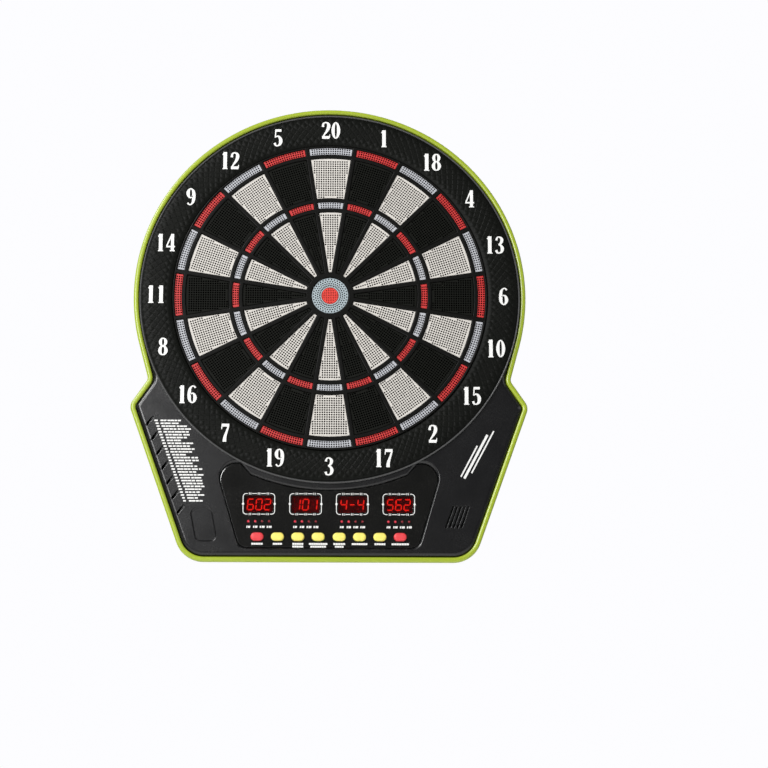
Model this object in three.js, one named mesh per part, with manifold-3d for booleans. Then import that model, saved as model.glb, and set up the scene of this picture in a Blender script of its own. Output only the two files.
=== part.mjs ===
// Electronic soft-tip dartboard in a wall-hung plastic cabinet, as an assembly of separate solids.
// Every piece is drawn in the usual three.js frame: x right, y up and z from the wall towards the
// player. The last group stands that frame up, so the exported part has +Z up and looks along -Y.
// The origin is on the wall, straight behind the bullseye. All sizes are in millimetres.
import * as THREE from "three";
import { mergeVertices } from "three/addons/utils/BufferGeometryUtils.js";
import Module from "manifold-3d";

const wasm = await Module();
wasm.setup();

// ---------------------------------------------------------------- driving dimensions

const GAP = 0.3; // between pieces that touch
const PASS = 1; // how far a cutter runs past the face that it cuts

// the scoring field, measured outwards from its centre
const NUMBERS = [20, 1, 18, 4, 13, 6, 10, 15, 2, 17, 3, 19, 7, 16, 8, 11, 14, 9, 12, 5];
const BULLSEYE_R = 9.2;
const BULL_R = 20.3;
const SINGLE_START_R = 27;
const TRIPLE_R = 108;
const TRIPLE_WIDTH = 6.8;
const TARGET_R = 171.7;
const DOUBLE_WIDTH = 7.6;
const RAIL_WIDTH = 4.1; // ring-shaped rails of the spider
const SPOKE_WIDTH = 4.5; // straight rails of the spider
const SEGMENT_PLAY = 0.4; // from each segment to the rail beside it
const BED_SPACE = 0.6; // between the flanges of two neighbouring beds
const HIT_TRAVEL = 1; // how far a segment gives when a dart hits it

// stack of layers behind the scoring field, from the wall forwards
const WALL = 2.5; // plastic wall of every shell
const RIB_HEIGHT = 8.4;
const BACKING_THICKNESS = 5;
const MEMBRANE_THICKNESS = 0.4;
const PAD_THICKNESS = 2;
const FLANGE_THICKNESS = 1.5;
const SPIDER_HEIGHT = 12;
const SEGMENT_SINK = 1.3; // segment faces below the front of the spider
const SPIDER_PROUD = 4.3; // front of the spider before the face of the cabinet

// cabinet
const CATCH_RING_WIDTH = 36.2;
const RING_BEVEL = 8; // sloping edge of the catch ring, towards the trim
const RING_TO_EDGE = 0.6; // catch ring to the coloured trim
const TRIM_WIDTH = 6;
const TRIM_DEPTH = 5;
const TRIM_SET_BACK = 0.8; // front of the trim behind the face of the cabinet
const OUTLINE_LIFT = 1.5; // middle of the round outline above the bullseye
const FLANK_ANGLE = -15.3; // where the round outline turns into the straight flank, in degrees
const WAIST_Y = -94.5;
const SHOULDER_Y = -124;
const SHOULDER_OUT = 1.8; // shoulder corner beyond the round outline
const WAIST_FILLET = 8;
const SHOULDER_FILLET = 13;
const FOOT_FILLET = 32;
const WING_FOOT = 60; // from the control panel's lower corner to the foot corner
const REAR_INSET = 10; // tray of the rear cover inside the trim
const REAR_DRAFT = 1.5;
const TRAY_DEPTH = 12;
const EDGE_ROUND = 5; // rounding of the face towards the trim

// control panel, display and buttons
const PANEL_BAND = 7.2; // cabinet face between the catch ring and the control panel
const PANEL_SINK = 1.6;
const PANEL_THICKNESS = 2.4;
const PANEL_LIP = 3;
const PANEL_FLARE = 31; // the panel is this much wider on each side at its top than at its foot
const PANEL_CORNER = 18;
const DISPLAY_COUNT = 4;
const DISPLAY_WIDTH = 34;
const DISPLAY_HEIGHT = 22.5;
const WINDOW_WIDTH = 30.4; // what the panel leaves open of each display
const WINDOW_HEIGHT = 18.6;
const DISPLAY_PITCH = 50.6;
const DISPLAY_MARGIN = 3.75;
const INDICATOR_SIZE = 3.4;
const INDICATOR_PITCH = 7.5;
const INDICATOR_DROP = 19; // from the middle of a display to its row of indicator lamps
const BUTTON_NAMES = ["power", "game", "option", "player", "double", "handicap", "sound", "start"];
const BUTTON_WIDTH = 14;
const BUTTON_HEIGHT = 9;
const BUTTON_FIRST = 11.4;
const BUTTON_PITCH = 22;
const BUTTON_TRAVEL = 1.2;
const BUTTON_PROUD = 2.4;
const BUTTON_PLAY = 0.4;
const BUTTON_LIP = 1.3;
const INDICATOR_ROOM = 20.25; // between the displays and the buttons
const PANEL_FOOT = 7.5; // below the buttons
const BOTTOM_MARGIN = 15.5; // below the control panel

// small parts
const SCREW_R = 1.5;
const SCREW_HEAD_R = 3.6;
const SCREW_HEAD_HEIGHT = 2.4;
const SCREW_HEAD_DEPTH = 2; // head below the rear face
const SCREW_PLAY = 0.3;
const BOSS_R = 4.5;
const BOARD_THICKNESS = 1.6;
const MAIN_BOARD_WIDTH = 44;
const MAIN_BOARD_HEIGHT = 54;
const SPEAKER_R = 18;
const GRILLE_SLOTS = 5;
const GRILLE_SLOT_WIDTH = 2;
const GRILLE_SLOT_LENGTH = 26;
const GRILLE_SLOT_PITCH = 4.2;
const RECESS_DEPTH = 1;
const RECESS_WIDTH = 21;
const RECESS_LENGTH = 35;
const GROOVE_COUNT = 7;
const GROOVE_PITCH = 16.3;
const GROOVE_LENGTH = 13;
const GROOVE_WIDTH = 2;
const KEYHOLE_X = 80;
const KEYHOLE_Y = 95;
const KEYHOLE_HEAD_R = 5.5;
const KEYHOLE_SLOT = 5.6;
const KEYHOLE_RISE = 12;
const JACK_X = 60;
const JACK_BARREL_R = 4.2;
const JACK_BORE_R = 3;
const JACK_PIN_R = 1;
const JACK_BORE_DEPTH = 9;

// ---------------------------------------------------------------- values worked out from them

const DEGREE = Math.PI / 180;
const HALF_WEDGE = 180 / NUMBERS.length;
const RING_SPACE = RAIL_WIDTH + 2 * SEGMENT_PLAY;
const SEGMENT_INSET = SPOKE_WIDTH / 2 + SEGMENT_PLAY;

const RIB_TOP = WALL + RIB_HEIGHT;
const BACKING_Z = RIB_TOP + GAP;
const MEMBRANE_Z = BACKING_Z + BACKING_THICKNESS + GAP;
const PAD_Z = MEMBRANE_Z + MEMBRANE_THICKNESS + GAP;
const FLANGE_Z = PAD_Z + PAD_THICKNESS + GAP + HIT_TRAVEL;
const SPIDER_Z = FLANGE_Z + FLANGE_THICKNESS + GAP;
const SPIDER_TOP = SPIDER_Z + SPIDER_HEIGHT;
const SEGMENT_TOP = SPIDER_TOP - SEGMENT_SINK;
const FACE_Z = SPIDER_TOP - SPIDER_PROUD;
const FACE_BACK = FACE_Z - WALL;

// rings of segments, from the middle outwards: [start radius, end radius]
const TRIPLE_START = TRIPLE_R - TRIPLE_WIDTH;
const DOUBLE_START = TARGET_R - DOUBLE_WIDTH;
const SEGMENT_RINGS = [
  [SINGLE_START_R, TRIPLE_START - RING_SPACE],
  [TRIPLE_START, TRIPLE_R],
  [TRIPLE_R + RING_SPACE, DOUBLE_START - RING_SPACE],
  [DOUBLE_START, TARGET_R],
];
const BULL_FLANGE_R = SINGLE_START_R - 3.5;
const BED_START_R = BULL_FLANGE_R + 2 * GAP;
const BED_END_R = TARGET_R + 1.8;

const SPIDER_RIM_R = TARGET_R + SEGMENT_PLAY + 2.1;
const CATCH_RING_START = SPIDER_RIM_R + GAP + 0.1;
const CATCH_RING_R = CATCH_RING_START + CATCH_RING_WIDTH;
const SPIGOT_R = CATCH_RING_START + 5.6; // collar of the catch ring in the cabinet's round hole
const HOLE_R = SPIGOT_R + SEGMENT_PLAY;
const SKIRT_R = HOLE_R + 2.4; // skirt of the spider behind the cabinet's face
const SKIRT_INNER_R = SPIDER_RIM_R + 2.8;
const PAD_R = SKIRT_INNER_R - 2 * GAP;
const BACKING_R = SKIRT_R + 4;
const OUTLINE_R = CATCH_RING_R + RING_TO_EDGE + TRIM_WIDTH;

const PANEL_TOP_R = CATCH_RING_R + PANEL_BAND;
const DISPLAY_Y = -(PANEL_TOP_R + DISPLAY_MARGIN + DISPLAY_HEIGHT / 2);
const INDICATOR_Y = DISPLAY_Y - INDICATOR_DROP;
const BUTTON_Y = DISPLAY_Y - DISPLAY_HEIGHT / 2 - INDICATOR_ROOM - BUTTON_HEIGHT / 2;
const PANEL_FOOT_Y = BUTTON_Y - BUTTON_HEIGHT / 2 - PANEL_FOOT;
const BOTTOM_Y = PANEL_FOOT_Y - BOTTOM_MARGIN;
const DISPLAY_ROW = ((DISPLAY_COUNT - 1) * DISPLAY_PITCH + DISPLAY_WIDTH) / 2;
const PANEL_HALF_FOOT = DISPLAY_ROW + 4.1;
const FOOT_X = PANEL_HALF_FOOT + WING_FOOT;
const PANEL_FRONT = FACE_Z - PANEL_SINK;
const PANEL_BACK = PANEL_FRONT - PANEL_THICKNESS;
const LENS_FRONT = PANEL_BACK - GAP;
const LENS_THICKNESS = 1.7;
const DISPLAY_FRONT = LENS_FRONT - LENS_THICKNESS - GAP;
const BUTTON_SEAT = PANEL_BACK - GAP; // front of the button's lip
const BUTTON_BACK = BUTTON_SEAT - 1.2;
const MAT_FRONT = BUTTON_BACK - BUTTON_TRAVEL - GAP;
const DISPLAY_BODY = 7.3;
const BOARD_FRONT = DISPLAY_FRONT - DISPLAY_BODY - GAP;

const COVER_INSET = 2; // rim of the rear cover, behind the trim
const HOUSING_INSET = TRIM_WIDTH;
const TRIM_FRONT = FACE_Z - TRIM_SET_BACK;
const TRIM_BACK = TRIM_FRONT - TRIM_DEPTH;
const RIM_TOP = TRIM_BACK - GAP;
const LEDGE_Z = TRAY_DEPTH;
const LEDGE_TOP = LEDGE_Z + 2.2;
const HOUSING_BACK = LEDGE_TOP + GAP;
const COVER_BOSS_TOP = 8;

// ---------------------------------------------------------------- making and joining solids

/** A closed three.js geometry as a solid that can be joined and cut. */
function solidOf(geometry) {
  const bare = new THREE.BufferGeometry();
  bare.setAttribute("position", geometry.getAttribute("position"));
  if (geometry.index) bare.setIndex(geometry.index);
  const merged = mergeVertices(bare, 1e-4);
  const vertProperties = merged.getAttribute("position").array;
  const triVerts = new Uint32Array(merged.index.array);
  return new wasm.Manifold(new wasm.Mesh({ numProp: 3, vertProperties, triVerts }));
}

/** A solid as a three.js geometry. */
function geometryOf(solid) {
  const { numProp, vertProperties, triVerts } = solid.getMesh();
  const places = new Float32Array((vertProperties.length / numProp) * 3);
  for (let i = 0; i < places.length / 3; i++) {
    places.set(vertProperties.subarray(i * numProp, i * numProp + 3), i * 3);
  }
  const geometry = new THREE.BufferGeometry();
  geometry.setAttribute("position", new THREE.BufferAttribute(places, 3));
  geometry.setIndex(new THREE.BufferAttribute(triVerts, 1));
  geometry.computeVertexNormals();
  return geometry;
}

const join = (...solids) => solids.reduce((all, one) => all.add(one));
const cut = (solid, ...cutters) => cutters.reduce((left, cutter) => left.subtract(cutter), solid);

/** Points of an arc, both ends included. Angles are in degrees. */
function arc(x, y, radius, from, to, steps) {
  const points = [];
  for (let i = 0; i <= steps; i++) {
    const angle = (from + ((to - from) * i) / steps) * DEGREE;
    points.push(new THREE.Vector2(x + radius * Math.cos(angle), y + radius * Math.sin(angle)));
  }
  return points;
}

const circle = (x, y, radius, steps) => arc(x, y, radius, 0, 360, steps).slice(0, -1);

/** The corner between two straight edges, rounded to a radius. */
function roundCorner(before, corner, after, radius, steps) {
  const inward = before.clone().sub(corner).normalize();
  const outward = after.clone().sub(corner).normalize();
  const half = inward.angleTo(outward) / 2;
  const reach = radius / Math.tan(half);
  const middle = inward.clone().add(outward).normalize();
  const centre = corner.clone().addScaledVector(middle, radius / Math.sin(half));
  const start = corner.clone().addScaledVector(inward, reach).sub(centre);
  const end = corner.clone().addScaledVector(outward, reach).sub(centre);
  const turn = Math.atan2(start.cross(end), start.dot(end));
  const from = start.angle() / DEGREE;
  return arc(centre.x, centre.y, radius, from, from + turn / DEGREE, steps);
}

/** A straight-sided outline with every corner rounded. */
function roundedOutline(corners, radii, steps) {
  const count = corners.length;
  return corners.flatMap((corner, i) => {
    const before = corners[(i + count - 1) % count];
    const after = corners[(i + 1) % count];
    return roundCorner(before, corner, after, radii[i], steps);
  });
}

function rectangle(x, y, width, height) {
  return [
    new THREE.Vector2(x - width / 2, y - height / 2),
    new THREE.Vector2(x + width / 2, y - height / 2),
    new THREE.Vector2(x + width / 2, y + height / 2),
    new THREE.Vector2(x - width / 2, y + height / 2),
  ];
}

function roundedRectangle(x, y, width, height, radius, steps = 3) {
  return roundedOutline(rectangle(x, y, width, height), Array(4).fill(radius), steps);
}

/** A slot with round ends that leans by an angle from upright, in degrees. */
function slot(x, y, width, length, lean) {
  const turn = lean * DEGREE;
  const centre = new THREE.Vector2(x, y);
  const upright = roundedRectangle(x, y, width, length, width / 2 - 0.05, 3);
  return upright.map((point) => point.rotateAround(centre, turn));
}

/** A flat outline, with holes, made solid from one depth to another. */
function plate(outline, from, to, holes = []) {
  const shape = new THREE.Shape(outline);
  shape.holes = holes.map((hole) => new THREE.Path(hole));
  const geometry = new THREE.ExtrudeGeometry(shape, { depth: to - from, bevelEnabled: false });
  geometry.translate(0, 0, from);
  return solidOf(geometry);
}

const box = (x, y, width, height, from, to) => plate(rectangle(x, y, width, height), from, to);
const rod = (x, y, radius, from, to, steps = 12) => plate(circle(x, y, radius, steps), from, to);

/** A closed profile of [radius, depth] pairs turned about the depth axis. */
function turned(profile, steps) {
  const points = profile.map(([radius, depth]) => new THREE.Vector2(radius, depth));
  const onAxis = profile[0][0] === 0 && profile.at(-1)[0] === 0;
  if (!onAxis) points.push(points[0].clone());
  const geometry = new THREE.LatheGeometry(points, steps);
  geometry.rotateX(Math.PI / 2);
  return solidOf(geometry);
}

/** A closed body through outlines of equal point count, each at its own depth, back to front. */
function loft(levels) {
  const count = levels[0].outline.length;
  const places = levels.flatMap(({ outline, z }) => outline.flatMap(({ x, y }) => [x, y, z]));
  const faces = [];
  for (let level = 0; level + 1 < levels.length; level++) {
    for (let i = 0; i < count; i++) {
      const a = level * count + i;
      const b = level * count + ((i + 1) % count);
      faces.push(a, b, b + count, a, b + count, a + count);
    }
  }
  const front = (levels.length - 1) * count;
  for (const [a, b, c] of THREE.ShapeUtils.triangulateShape(levels[0].outline, [])) {
    faces.push(a, c, b);
  }
  for (const [a, b, c] of THREE.ShapeUtils.triangulateShape(levels.at(-1).outline, [])) {
    faces.push(front + a, front + b, front + c);
  }
  const geometry = new THREE.BufferGeometry();
  geometry.setAttribute("position", new THREE.Float32BufferAttribute(places, 3));
  geometry.setIndex(faces);
  return solidOf(geometry);
}

// ---------------------------------------------------------------- outline of the cabinet

const flankNormal = new THREE.Vector2(Math.cos(FLANK_ANGLE * DEGREE), Math.sin(FLANK_ANGLE * DEGREE));
const flankStart = flankNormal.clone().multiplyScalar(OUTLINE_R).add(new THREE.Vector2(0, OUTLINE_LIFT));
const waistX = (OUTLINE_R - (WAIST_Y - OUTLINE_LIFT) * flankNormal.y) / flankNormal.x;
const waist = new THREE.Vector2(waistX, WAIST_Y);
const shoulder = new THREE.Vector2(OUTLINE_R + SHOULDER_OUT, SHOULDER_Y);
const foot = new THREE.Vector2(FOOT_X, BOTTOM_Y);

/** The line from a to b, moved to its right-hand side. */
function movedLine(a, b, inset) {
  const along = b.clone().sub(a).normalize();
  return { start: a.clone().add(new THREE.Vector2(along.y, -along.x).multiplyScalar(inset)), along };
}

function crossing(one, two) {
  const between = two.start.clone().sub(one.start);
  const reach = between.cross(two.along) / one.along.cross(two.along);
  return one.start.clone().addScaledVector(one.along, reach);
}

/** The cabinet's outline, drawn this far inside the outer edge of the trim. */
function cabinetOutline(inset) {
  const flank = movedLine(flankStart, waist, inset);
  const shelf = movedLine(waist, shoulder, inset);
  const side = movedLine(shoulder, foot, inset);
  const bottom = movedLine(foot, new THREE.Vector2(0, BOTTOM_Y), inset);
  const corners = [
    flank.start,
    crossing(flank, shelf),
    crossing(shelf, side),
    crossing(side, bottom),
    new THREE.Vector2(0, BOTTOM_Y + inset),
  ];
  const right = [
    ...arc(0, OUTLINE_LIFT, OUTLINE_R - inset, 90, FLANK_ANGLE, 17),
    ...roundCorner(corners[0], corners[1], corners[2], WAIST_FILLET + inset, 3),
    ...roundCorner(corners[1], corners[2], corners[3], Math.max(SHOULDER_FILLET - inset, 1.5), 4),
    ...roundCorner(corners[2], corners[3], corners[4], Math.max(FOOT_FILLET - inset, 4), 6),
  ];
  const left = right.slice(1).map(({ x, y }) => new THREE.Vector2(-x, y));
  return [...left, ...right.reverse()];
}

/** How far the side of a wing is from the middle at this height, drawn inside the trim's edge. */
function sideX(y, inset) {
  const side = movedLine(shoulder, foot, inset);
  return side.start.x + ((y - side.start.y) / side.along.y) * side.along.x;
}

const cabinetLoft = (levels) => loft(levels.map(([inset, z]) => ({ outline: cabinetOutline(inset), z })));

// lean of the wings' sides from upright, in degrees
const WING_LEAN = Math.atan2(shoulder.x - foot.x, shoulder.y - foot.y) / DEGREE;

// places of the parts in the wings
const SPEAKER_Y = DISPLAY_Y - 14;
const SPEAKER_X = sideX(SPEAKER_Y, HOUSING_INSET + WALL + 8) - SPEAKER_R;
const RECESS_Y = SPEAKER_Y - 8;
const RECESS_X = sideX(RECESS_Y, HOUSING_INSET) - 28;
const MAIN_BOARD_Y = DISPLAY_Y + 22;
const MAIN_BOARD_X = -(sideX(MAIN_BOARD_Y - MAIN_BOARD_HEIGHT / 2, REAR_INSET + WALL + 6) - MAIN_BOARD_WIDTH / 2);
const SCREW_PLACES = [
  ...[35, 145, -8, 188].map((angle) => arc(0, 0, BACKING_R + BOSS_R + 4, angle, angle, 1)[0]),
  ...[-1, 1].map((side) => new THREE.Vector2(side * (sideX(SHOULDER_Y - 22, 24)), SHOULDER_Y - 22)),
  ...[-1, 1].map((side) => new THREE.Vector2(side * (PANEL_HALF_FOOT + 28), BOTTOM_Y + 21)),
];

// ---------------------------------------------------------------- scoring field

/** Outline of one ring of one wedge, standing upright, with its straight sides moved inwards. */
function sector(start, end, inset) {
  const reach = (radius) => HALF_WEDGE - Math.asin(inset / radius) / DEGREE;
  const steps = (radius) => (radius > 100 ? 3 : radius > 50 ? 2 : 1);
  return [
    ...arc(0, 0, end, 90 - reach(end), 90 + reach(end), steps(end)),
    ...arc(0, 0, start, 90 + reach(start), 90 - reach(start), steps(start)),
  ];
}

/** The four segments of one number, on the flange that carries them behind the spider. */
function segmentBed() {
  const flange = plate(sector(BED_START_R, BED_END_R, BED_SPACE / 2), FLANGE_Z, FLANGE_Z + FLANGE_THICKNESS);
  const segments = SEGMENT_RINGS.map(([start, end]) =>
    plate(sector(start, end, SEGMENT_INSET), FLANGE_Z + FLANGE_THICKNESS / 2, SEGMENT_TOP),
  );
  return join(flange, ...segments);
}

function bullRing() {
  const bore = BULLSEYE_R + SEGMENT_PLAY;
  const flangeTop = FLANGE_Z + FLANGE_THICKNESS;
  return turned(
    [
      [bore + 4, FLANGE_Z],
      [BULL_FLANGE_R, FLANGE_Z],
      [BULL_FLANGE_R, flangeTop],
      [BULL_R, flangeTop],
      [BULL_R, SEGMENT_TOP],
      [bore, SEGMENT_TOP],
      [bore, flangeTop + 2 * GAP + HIT_TRAVEL],
      [bore + 4, flangeTop + 2 * GAP + HIT_TRAVEL],
    ],
    24,
  );
}

function bullseye() {
  return turned(
    [
      [0, FLANGE_Z],
      [BULLSEYE_R + 3, FLANGE_Z],
      [BULLSEYE_R + 3, FLANGE_Z + FLANGE_THICKNESS],
      [BULLSEYE_R, FLANGE_Z + FLANGE_THICKNESS],
      [BULLSEYE_R, SEGMENT_TOP],
      [0, SEGMENT_TOP],
    ],
    24,
  );
}

const TAIL_WIDTH = 14;
const TAIL_X = -112; // tail of the sensor membrane, beside the main board

/** How far below the middle the membrane's tail reaches. */
const reachOfTail = () => Math.sqrt(BACKING_R ** 2 - TAIL_X ** 2) + 4;

/** The web of rails between the segments, with its skirt around the layers behind them. */
function segmentSpider() {
  const holes = NUMBERS.flatMap((_, i) =>
    SEGMENT_RINGS.map(([start, end]) => {
      const hole = sector(start - SEGMENT_PLAY, end + SEGMENT_PLAY, SPOKE_WIDTH / 2);
      const middle = new THREE.Vector2(0, 0);
      return hole.map((point) => point.rotateAround(middle, 2 * HALF_WEDGE * i * DEGREE));
    }),
  );
  holes.push(circle(0, 0, BULL_R + SEGMENT_PLAY, 24));
  const rim = circle(0, 0, SPIDER_RIM_R, 60);
  const web = plate(rim, SPIDER_Z, SPIDER_TOP, holes);
  const collarTop = FACE_BACK - GAP;
  const skirt = turned(
    [
      [SKIRT_INNER_R, BACKING_Z + BACKING_THICKNESS + GAP],
      [SKIRT_R, BACKING_Z + BACKING_THICKNESS + GAP],
      [SKIRT_R, collarTop],
      [SPIDER_RIM_R - 1, collarTop],
      [SPIDER_RIM_R - 1, collarTop - 3],
      [SKIRT_INNER_R, collarTop - 3],
    ],
    60,
  );
  const gateTop = MEMBRANE_Z + MEMBRANE_THICKNESS + GAP;
  const tailGate = box(TAIL_X, -reachOfTail(), TAIL_WIDTH + 2, 60, BACKING_Z, gateTop);
  return cut(join(web, skirt), tailGate);
}

const disc = (radius, from, to) => plate(circle(0, 0, radius, 60), from, to);

/** The printed sensor film, with the tail that leads its tracks out over the backing board. */
function sensorMembrane() {
  const film = disc(PAD_R, MEMBRANE_Z, MEMBRANE_Z + MEMBRANE_THICKNESS);
  const tail = box(TAIL_X, 20 - reachOfTail(), TAIL_WIDTH, 40, MEMBRANE_Z, MEMBRANE_Z + MEMBRANE_THICKNESS);
  return join(film, tail);
}

// ---------------------------------------------------------------- cabinet shells

function panelOutline(grow) {
  const topY = -Math.sqrt(PANEL_TOP_R ** 2 - (PANEL_HALF_FOOT + PANEL_FLARE * 0.7) ** 2);
  const height = topY - PANEL_FOOT_Y;
  const lean = PANEL_FLARE / height;
  const footX = PANEL_HALF_FOOT + grow;
  const topX = footX + lean * (height + grow) * 0.97;
  const right = new THREE.Vector2(footX - lean * grow, PANEL_FOOT_Y - grow);
  const arcRadius = PANEL_TOP_R - grow;
  const topCorner = new THREE.Vector2(topX, -Math.sqrt(arcRadius ** 2 - (topX - 4) ** 2));
  const towards = new THREE.Vector2(0, -arcRadius + 4);
  const radius = PANEL_CORNER + grow;
  const rightSide = [
    ...roundCorner(new THREE.Vector2(0, right.y), right, topCorner, radius * 0.6, 3),
    ...roundCorner(right, topCorner, towards, radius, 4),
  ];
  const start = Math.atan2(rightSide.at(-1).y, rightSide.at(-1).x) / DEGREE;
  const top = arc(0, 0, arcRadius, start - 3, -180 - start + 3, 12);
  const leftSide = rightSide.map(({ x, y }) => new THREE.Vector2(-x, y)).reverse();
  return [...rightSide, ...top, ...leftSide];
}

function grilleSlots() {
  return Array.from({ length: GRILLE_SLOTS }, (_, i) => {
    const x = SPEAKER_X + (i - (GRILLE_SLOTS - 1) / 2) * GRILLE_SLOT_PITCH;
    return plate(slot(x, SPEAKER_Y, GRILLE_SLOT_WIDTH, GRILLE_SLOT_LENGTH, -WING_LEAN), FACE_BACK - PASS, FACE_Z + PASS);
  });
}

function gripGrooves() {
  return Array.from({ length: GROOVE_COUNT }, (_, i) => {
    const y = SHOULDER_Y - 18 - i * GROOVE_PITCH;
    const x = -(sideX(y, HOUSING_INSET + EDGE_ROUND) - 3.5);
    return plate(slot(x, y, GROOVE_WIDTH, GROOVE_LENGTH, -45), FACE_Z - RECESS_DEPTH, FACE_Z + PASS);
  });
}

const WALL_ROOM = HOUSING_INSET + WALL;

/** The face of the cabinet with its side walls, open at the back. */
function frontHousing() {
  const body = cabinetLoft([
    [HOUSING_INSET, HOUSING_BACK],
    [HOUSING_INSET, FACE_Z - EDGE_ROUND],
    [HOUSING_INSET + EDGE_ROUND * 0.3, FACE_Z - EDGE_ROUND * 0.3],
    [HOUSING_INSET + EDGE_ROUND, FACE_Z],
  ]);
  const cavity = cabinetLoft([
    [WALL_ROOM, HOUSING_BACK - PASS],
    [WALL_ROOM, FACE_BACK],
  ]);
  const shell = cut(
    body,
    cavity,
    rod(0, 0, HOLE_R, FACE_BACK - PASS, FACE_Z + PASS, 60),
    plate(panelOutline(0), FACE_BACK - PASS, FACE_Z + PASS),
    plate(slot(-RECESS_X, RECESS_Y, RECESS_WIDTH, RECESS_LENGTH, WING_LEAN), FACE_Z - RECESS_DEPTH, FACE_Z + PASS),
    ...grilleSlots(),
    ...gripGrooves(),
  );
  const bosses = SCREW_PLACES.map(({ x, y }) => rod(x, y, BOSS_R, COVER_BOSS_TOP + GAP, FACE_BACK + PASS / 2, 10));
  const pilots = SCREW_PLACES.map(({ x, y }) =>
    rod(x, y, SCREW_R + SCREW_PLAY, COVER_BOSS_TOP - PASS, FACE_BACK - 1.2, 8),
  );
  return cut(join(shell, ...bosses), ...pilots);
}

function catchRing() {
  const base = FACE_Z + GAP;
  const top = SPIDER_TOP;
  return turned(
    [
      [CATCH_RING_START, FACE_BACK + 0.1],
      [SPIGOT_R, FACE_BACK + 0.1],
      [SPIGOT_R, base],
      [CATCH_RING_R, base],
      [CATCH_RING_R, base + 0.8],
      [CATCH_RING_R - RING_BEVEL / 2, base + 2.6],
      [CATCH_RING_R - RING_BEVEL, top + 0.3],
      [CATCH_RING_R - RING_BEVEL - 4, top + 0.5],
      [CATCH_RING_START + 6, top],
      [CATCH_RING_START, top - 1.2],
    ],
    60,
  );
}

function edgeTrim() {
  return plate(cabinetOutline(0), TRIM_BACK, TRIM_FRONT, [cabinetOutline(TRIM_WIDTH - GAP)]);
}

function keyhole(x) {
  const head = rod(x, KEYHOLE_Y, KEYHOLE_HEAD_R, -PASS, WALL + PASS);
  const rise = slot(x, KEYHOLE_Y + KEYHOLE_RISE / 2, KEYHOLE_SLOT, KEYHOLE_RISE + KEYHOLE_SLOT, 0);
  return join(head, plate(rise, -PASS, WALL + PASS));
}

const coverBottomY = BOTTOM_Y + REAR_INSET;
const JACK_Z = 7;

/** A round bar lying along the height of the cabinet. */
function upright(x, radius, fromY, toY, z, steps) {
  const geometry = new THREE.CylinderGeometry(radius, radius, toY - fromY, steps);
  geometry.translate(x, (fromY + toY) / 2, z);
  return solidOf(geometry);
}

/** The tray behind everything: flat against the wall, with ribs under the backing board. */
function rearCover() {
  const body = cabinetLoft([
    [REAR_INSET + REAR_DRAFT, 0],
    [REAR_INSET, LEDGE_Z],
    [COVER_INSET, LEDGE_Z + 0.01],
    [COVER_INSET, RIM_TOP],
  ]);
  const cavity = cabinetLoft([
    [REAR_INSET + REAR_DRAFT + WALL, WALL],
    [REAR_INSET + WALL, LEDGE_TOP],
    [HOUSING_INSET - SEGMENT_PLAY, LEDGE_TOP + 0.01],
    [HOUSING_INSET - SEGMENT_PLAY, RIM_TOP + PASS],
  ]);
  const innerRib = turned([[60, WALL - PASS], [WALL + 60, WALL - PASS], [WALL + 60, RIB_TOP], [60, RIB_TOP]], 32);
  const outerR = BACKING_R - 33;
  const outerRib = turned(
    [[outerR, WALL - PASS], [outerR + WALL, WALL - PASS], [outerR + WALL, RIB_TOP], [outerR, RIB_TOP]],
    48,
  );
  const spokes = Array.from({ length: 8 }, (_, i) => {
    const rib = rectangle((60 + outerR) / 2 + WALL / 2, 0, outerR - 60, WALL);
    const middle = new THREE.Vector2(0, 0);
    const turnedRib = rib.map((point) => point.rotateAround(middle, (22.5 + 45 * i) * DEGREE));
    return plate(turnedRib, WALL - PASS, RIB_TOP);
  });
  const bosses = SCREW_PLACES.map(({ x, y }) => rod(x, y, SCREW_HEAD_R + 2.4, WALL - PASS, COVER_BOSS_TOP, 12));
  const posts = [-1, 1].map((side) =>
    rod(
      MAIN_BOARD_X + side * (MAIN_BOARD_WIDTH / 2 - 5),
      MAIN_BOARD_Y + side * (MAIN_BOARD_HEIGHT / 2 - 5),
      3,
      WALL - PASS,
      MAIN_BOARD_Z - GAP,
      8,
    ),
  );
  const headTop = SCREW_HEAD_DEPTH + SCREW_HEAD_HEIGHT + GAP;
  const sinks = SCREW_PLACES.map(({ x, y }) => rod(x, y, SCREW_HEAD_R + 0.4, -PASS, headTop, 12));
  const holes = SCREW_PLACES.map(({ x, y }) => rod(x, y, SCREW_R + SCREW_PLAY, -PASS, COVER_BOSS_TOP + PASS, 8));
  return cut(
    join(body.subtract(cavity), innerRib, outerRib, ...spokes, ...bosses, ...posts),
    ...sinks,
    ...holes,
    keyhole(-KEYHOLE_X),
    keyhole(KEYHOLE_X),
    upright(JACK_X, JACK_BARREL_R + GAP, coverBottomY - PASS, coverBottomY + 8, JACK_Z, 16),
  );
}

function screw() {
  const headTop = SCREW_HEAD_DEPTH + SCREW_HEAD_HEIGHT;
  const tip = FACE_BACK - 2.5;
  return turned(
    [
      [0, SCREW_HEAD_DEPTH],
      [SCREW_HEAD_R, SCREW_HEAD_DEPTH],
      [SCREW_HEAD_R, headTop],
      [SCREW_R, headTop],
      [SCREW_R, tip - 2],
      [0, tip],
    ],
    10,
  );
}

// ---------------------------------------------------------------- control panel

const displayX = (i) => (i - (DISPLAY_COUNT - 1) / 2) * DISPLAY_PITCH;
const indicatorX = (i, k) => displayX(i) + (k - 1.5) * INDICATOR_PITCH;

/** Places of the buttons, from left to right. */
function buttonX(i) {
  const half = BUTTON_NAMES.length / 2;
  const side = i < half ? -1 : 1;
  const step = i < half ? half - 1 - i : i - half;
  return side * (BUTTON_FIRST + step * BUTTON_PITCH);
}

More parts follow.
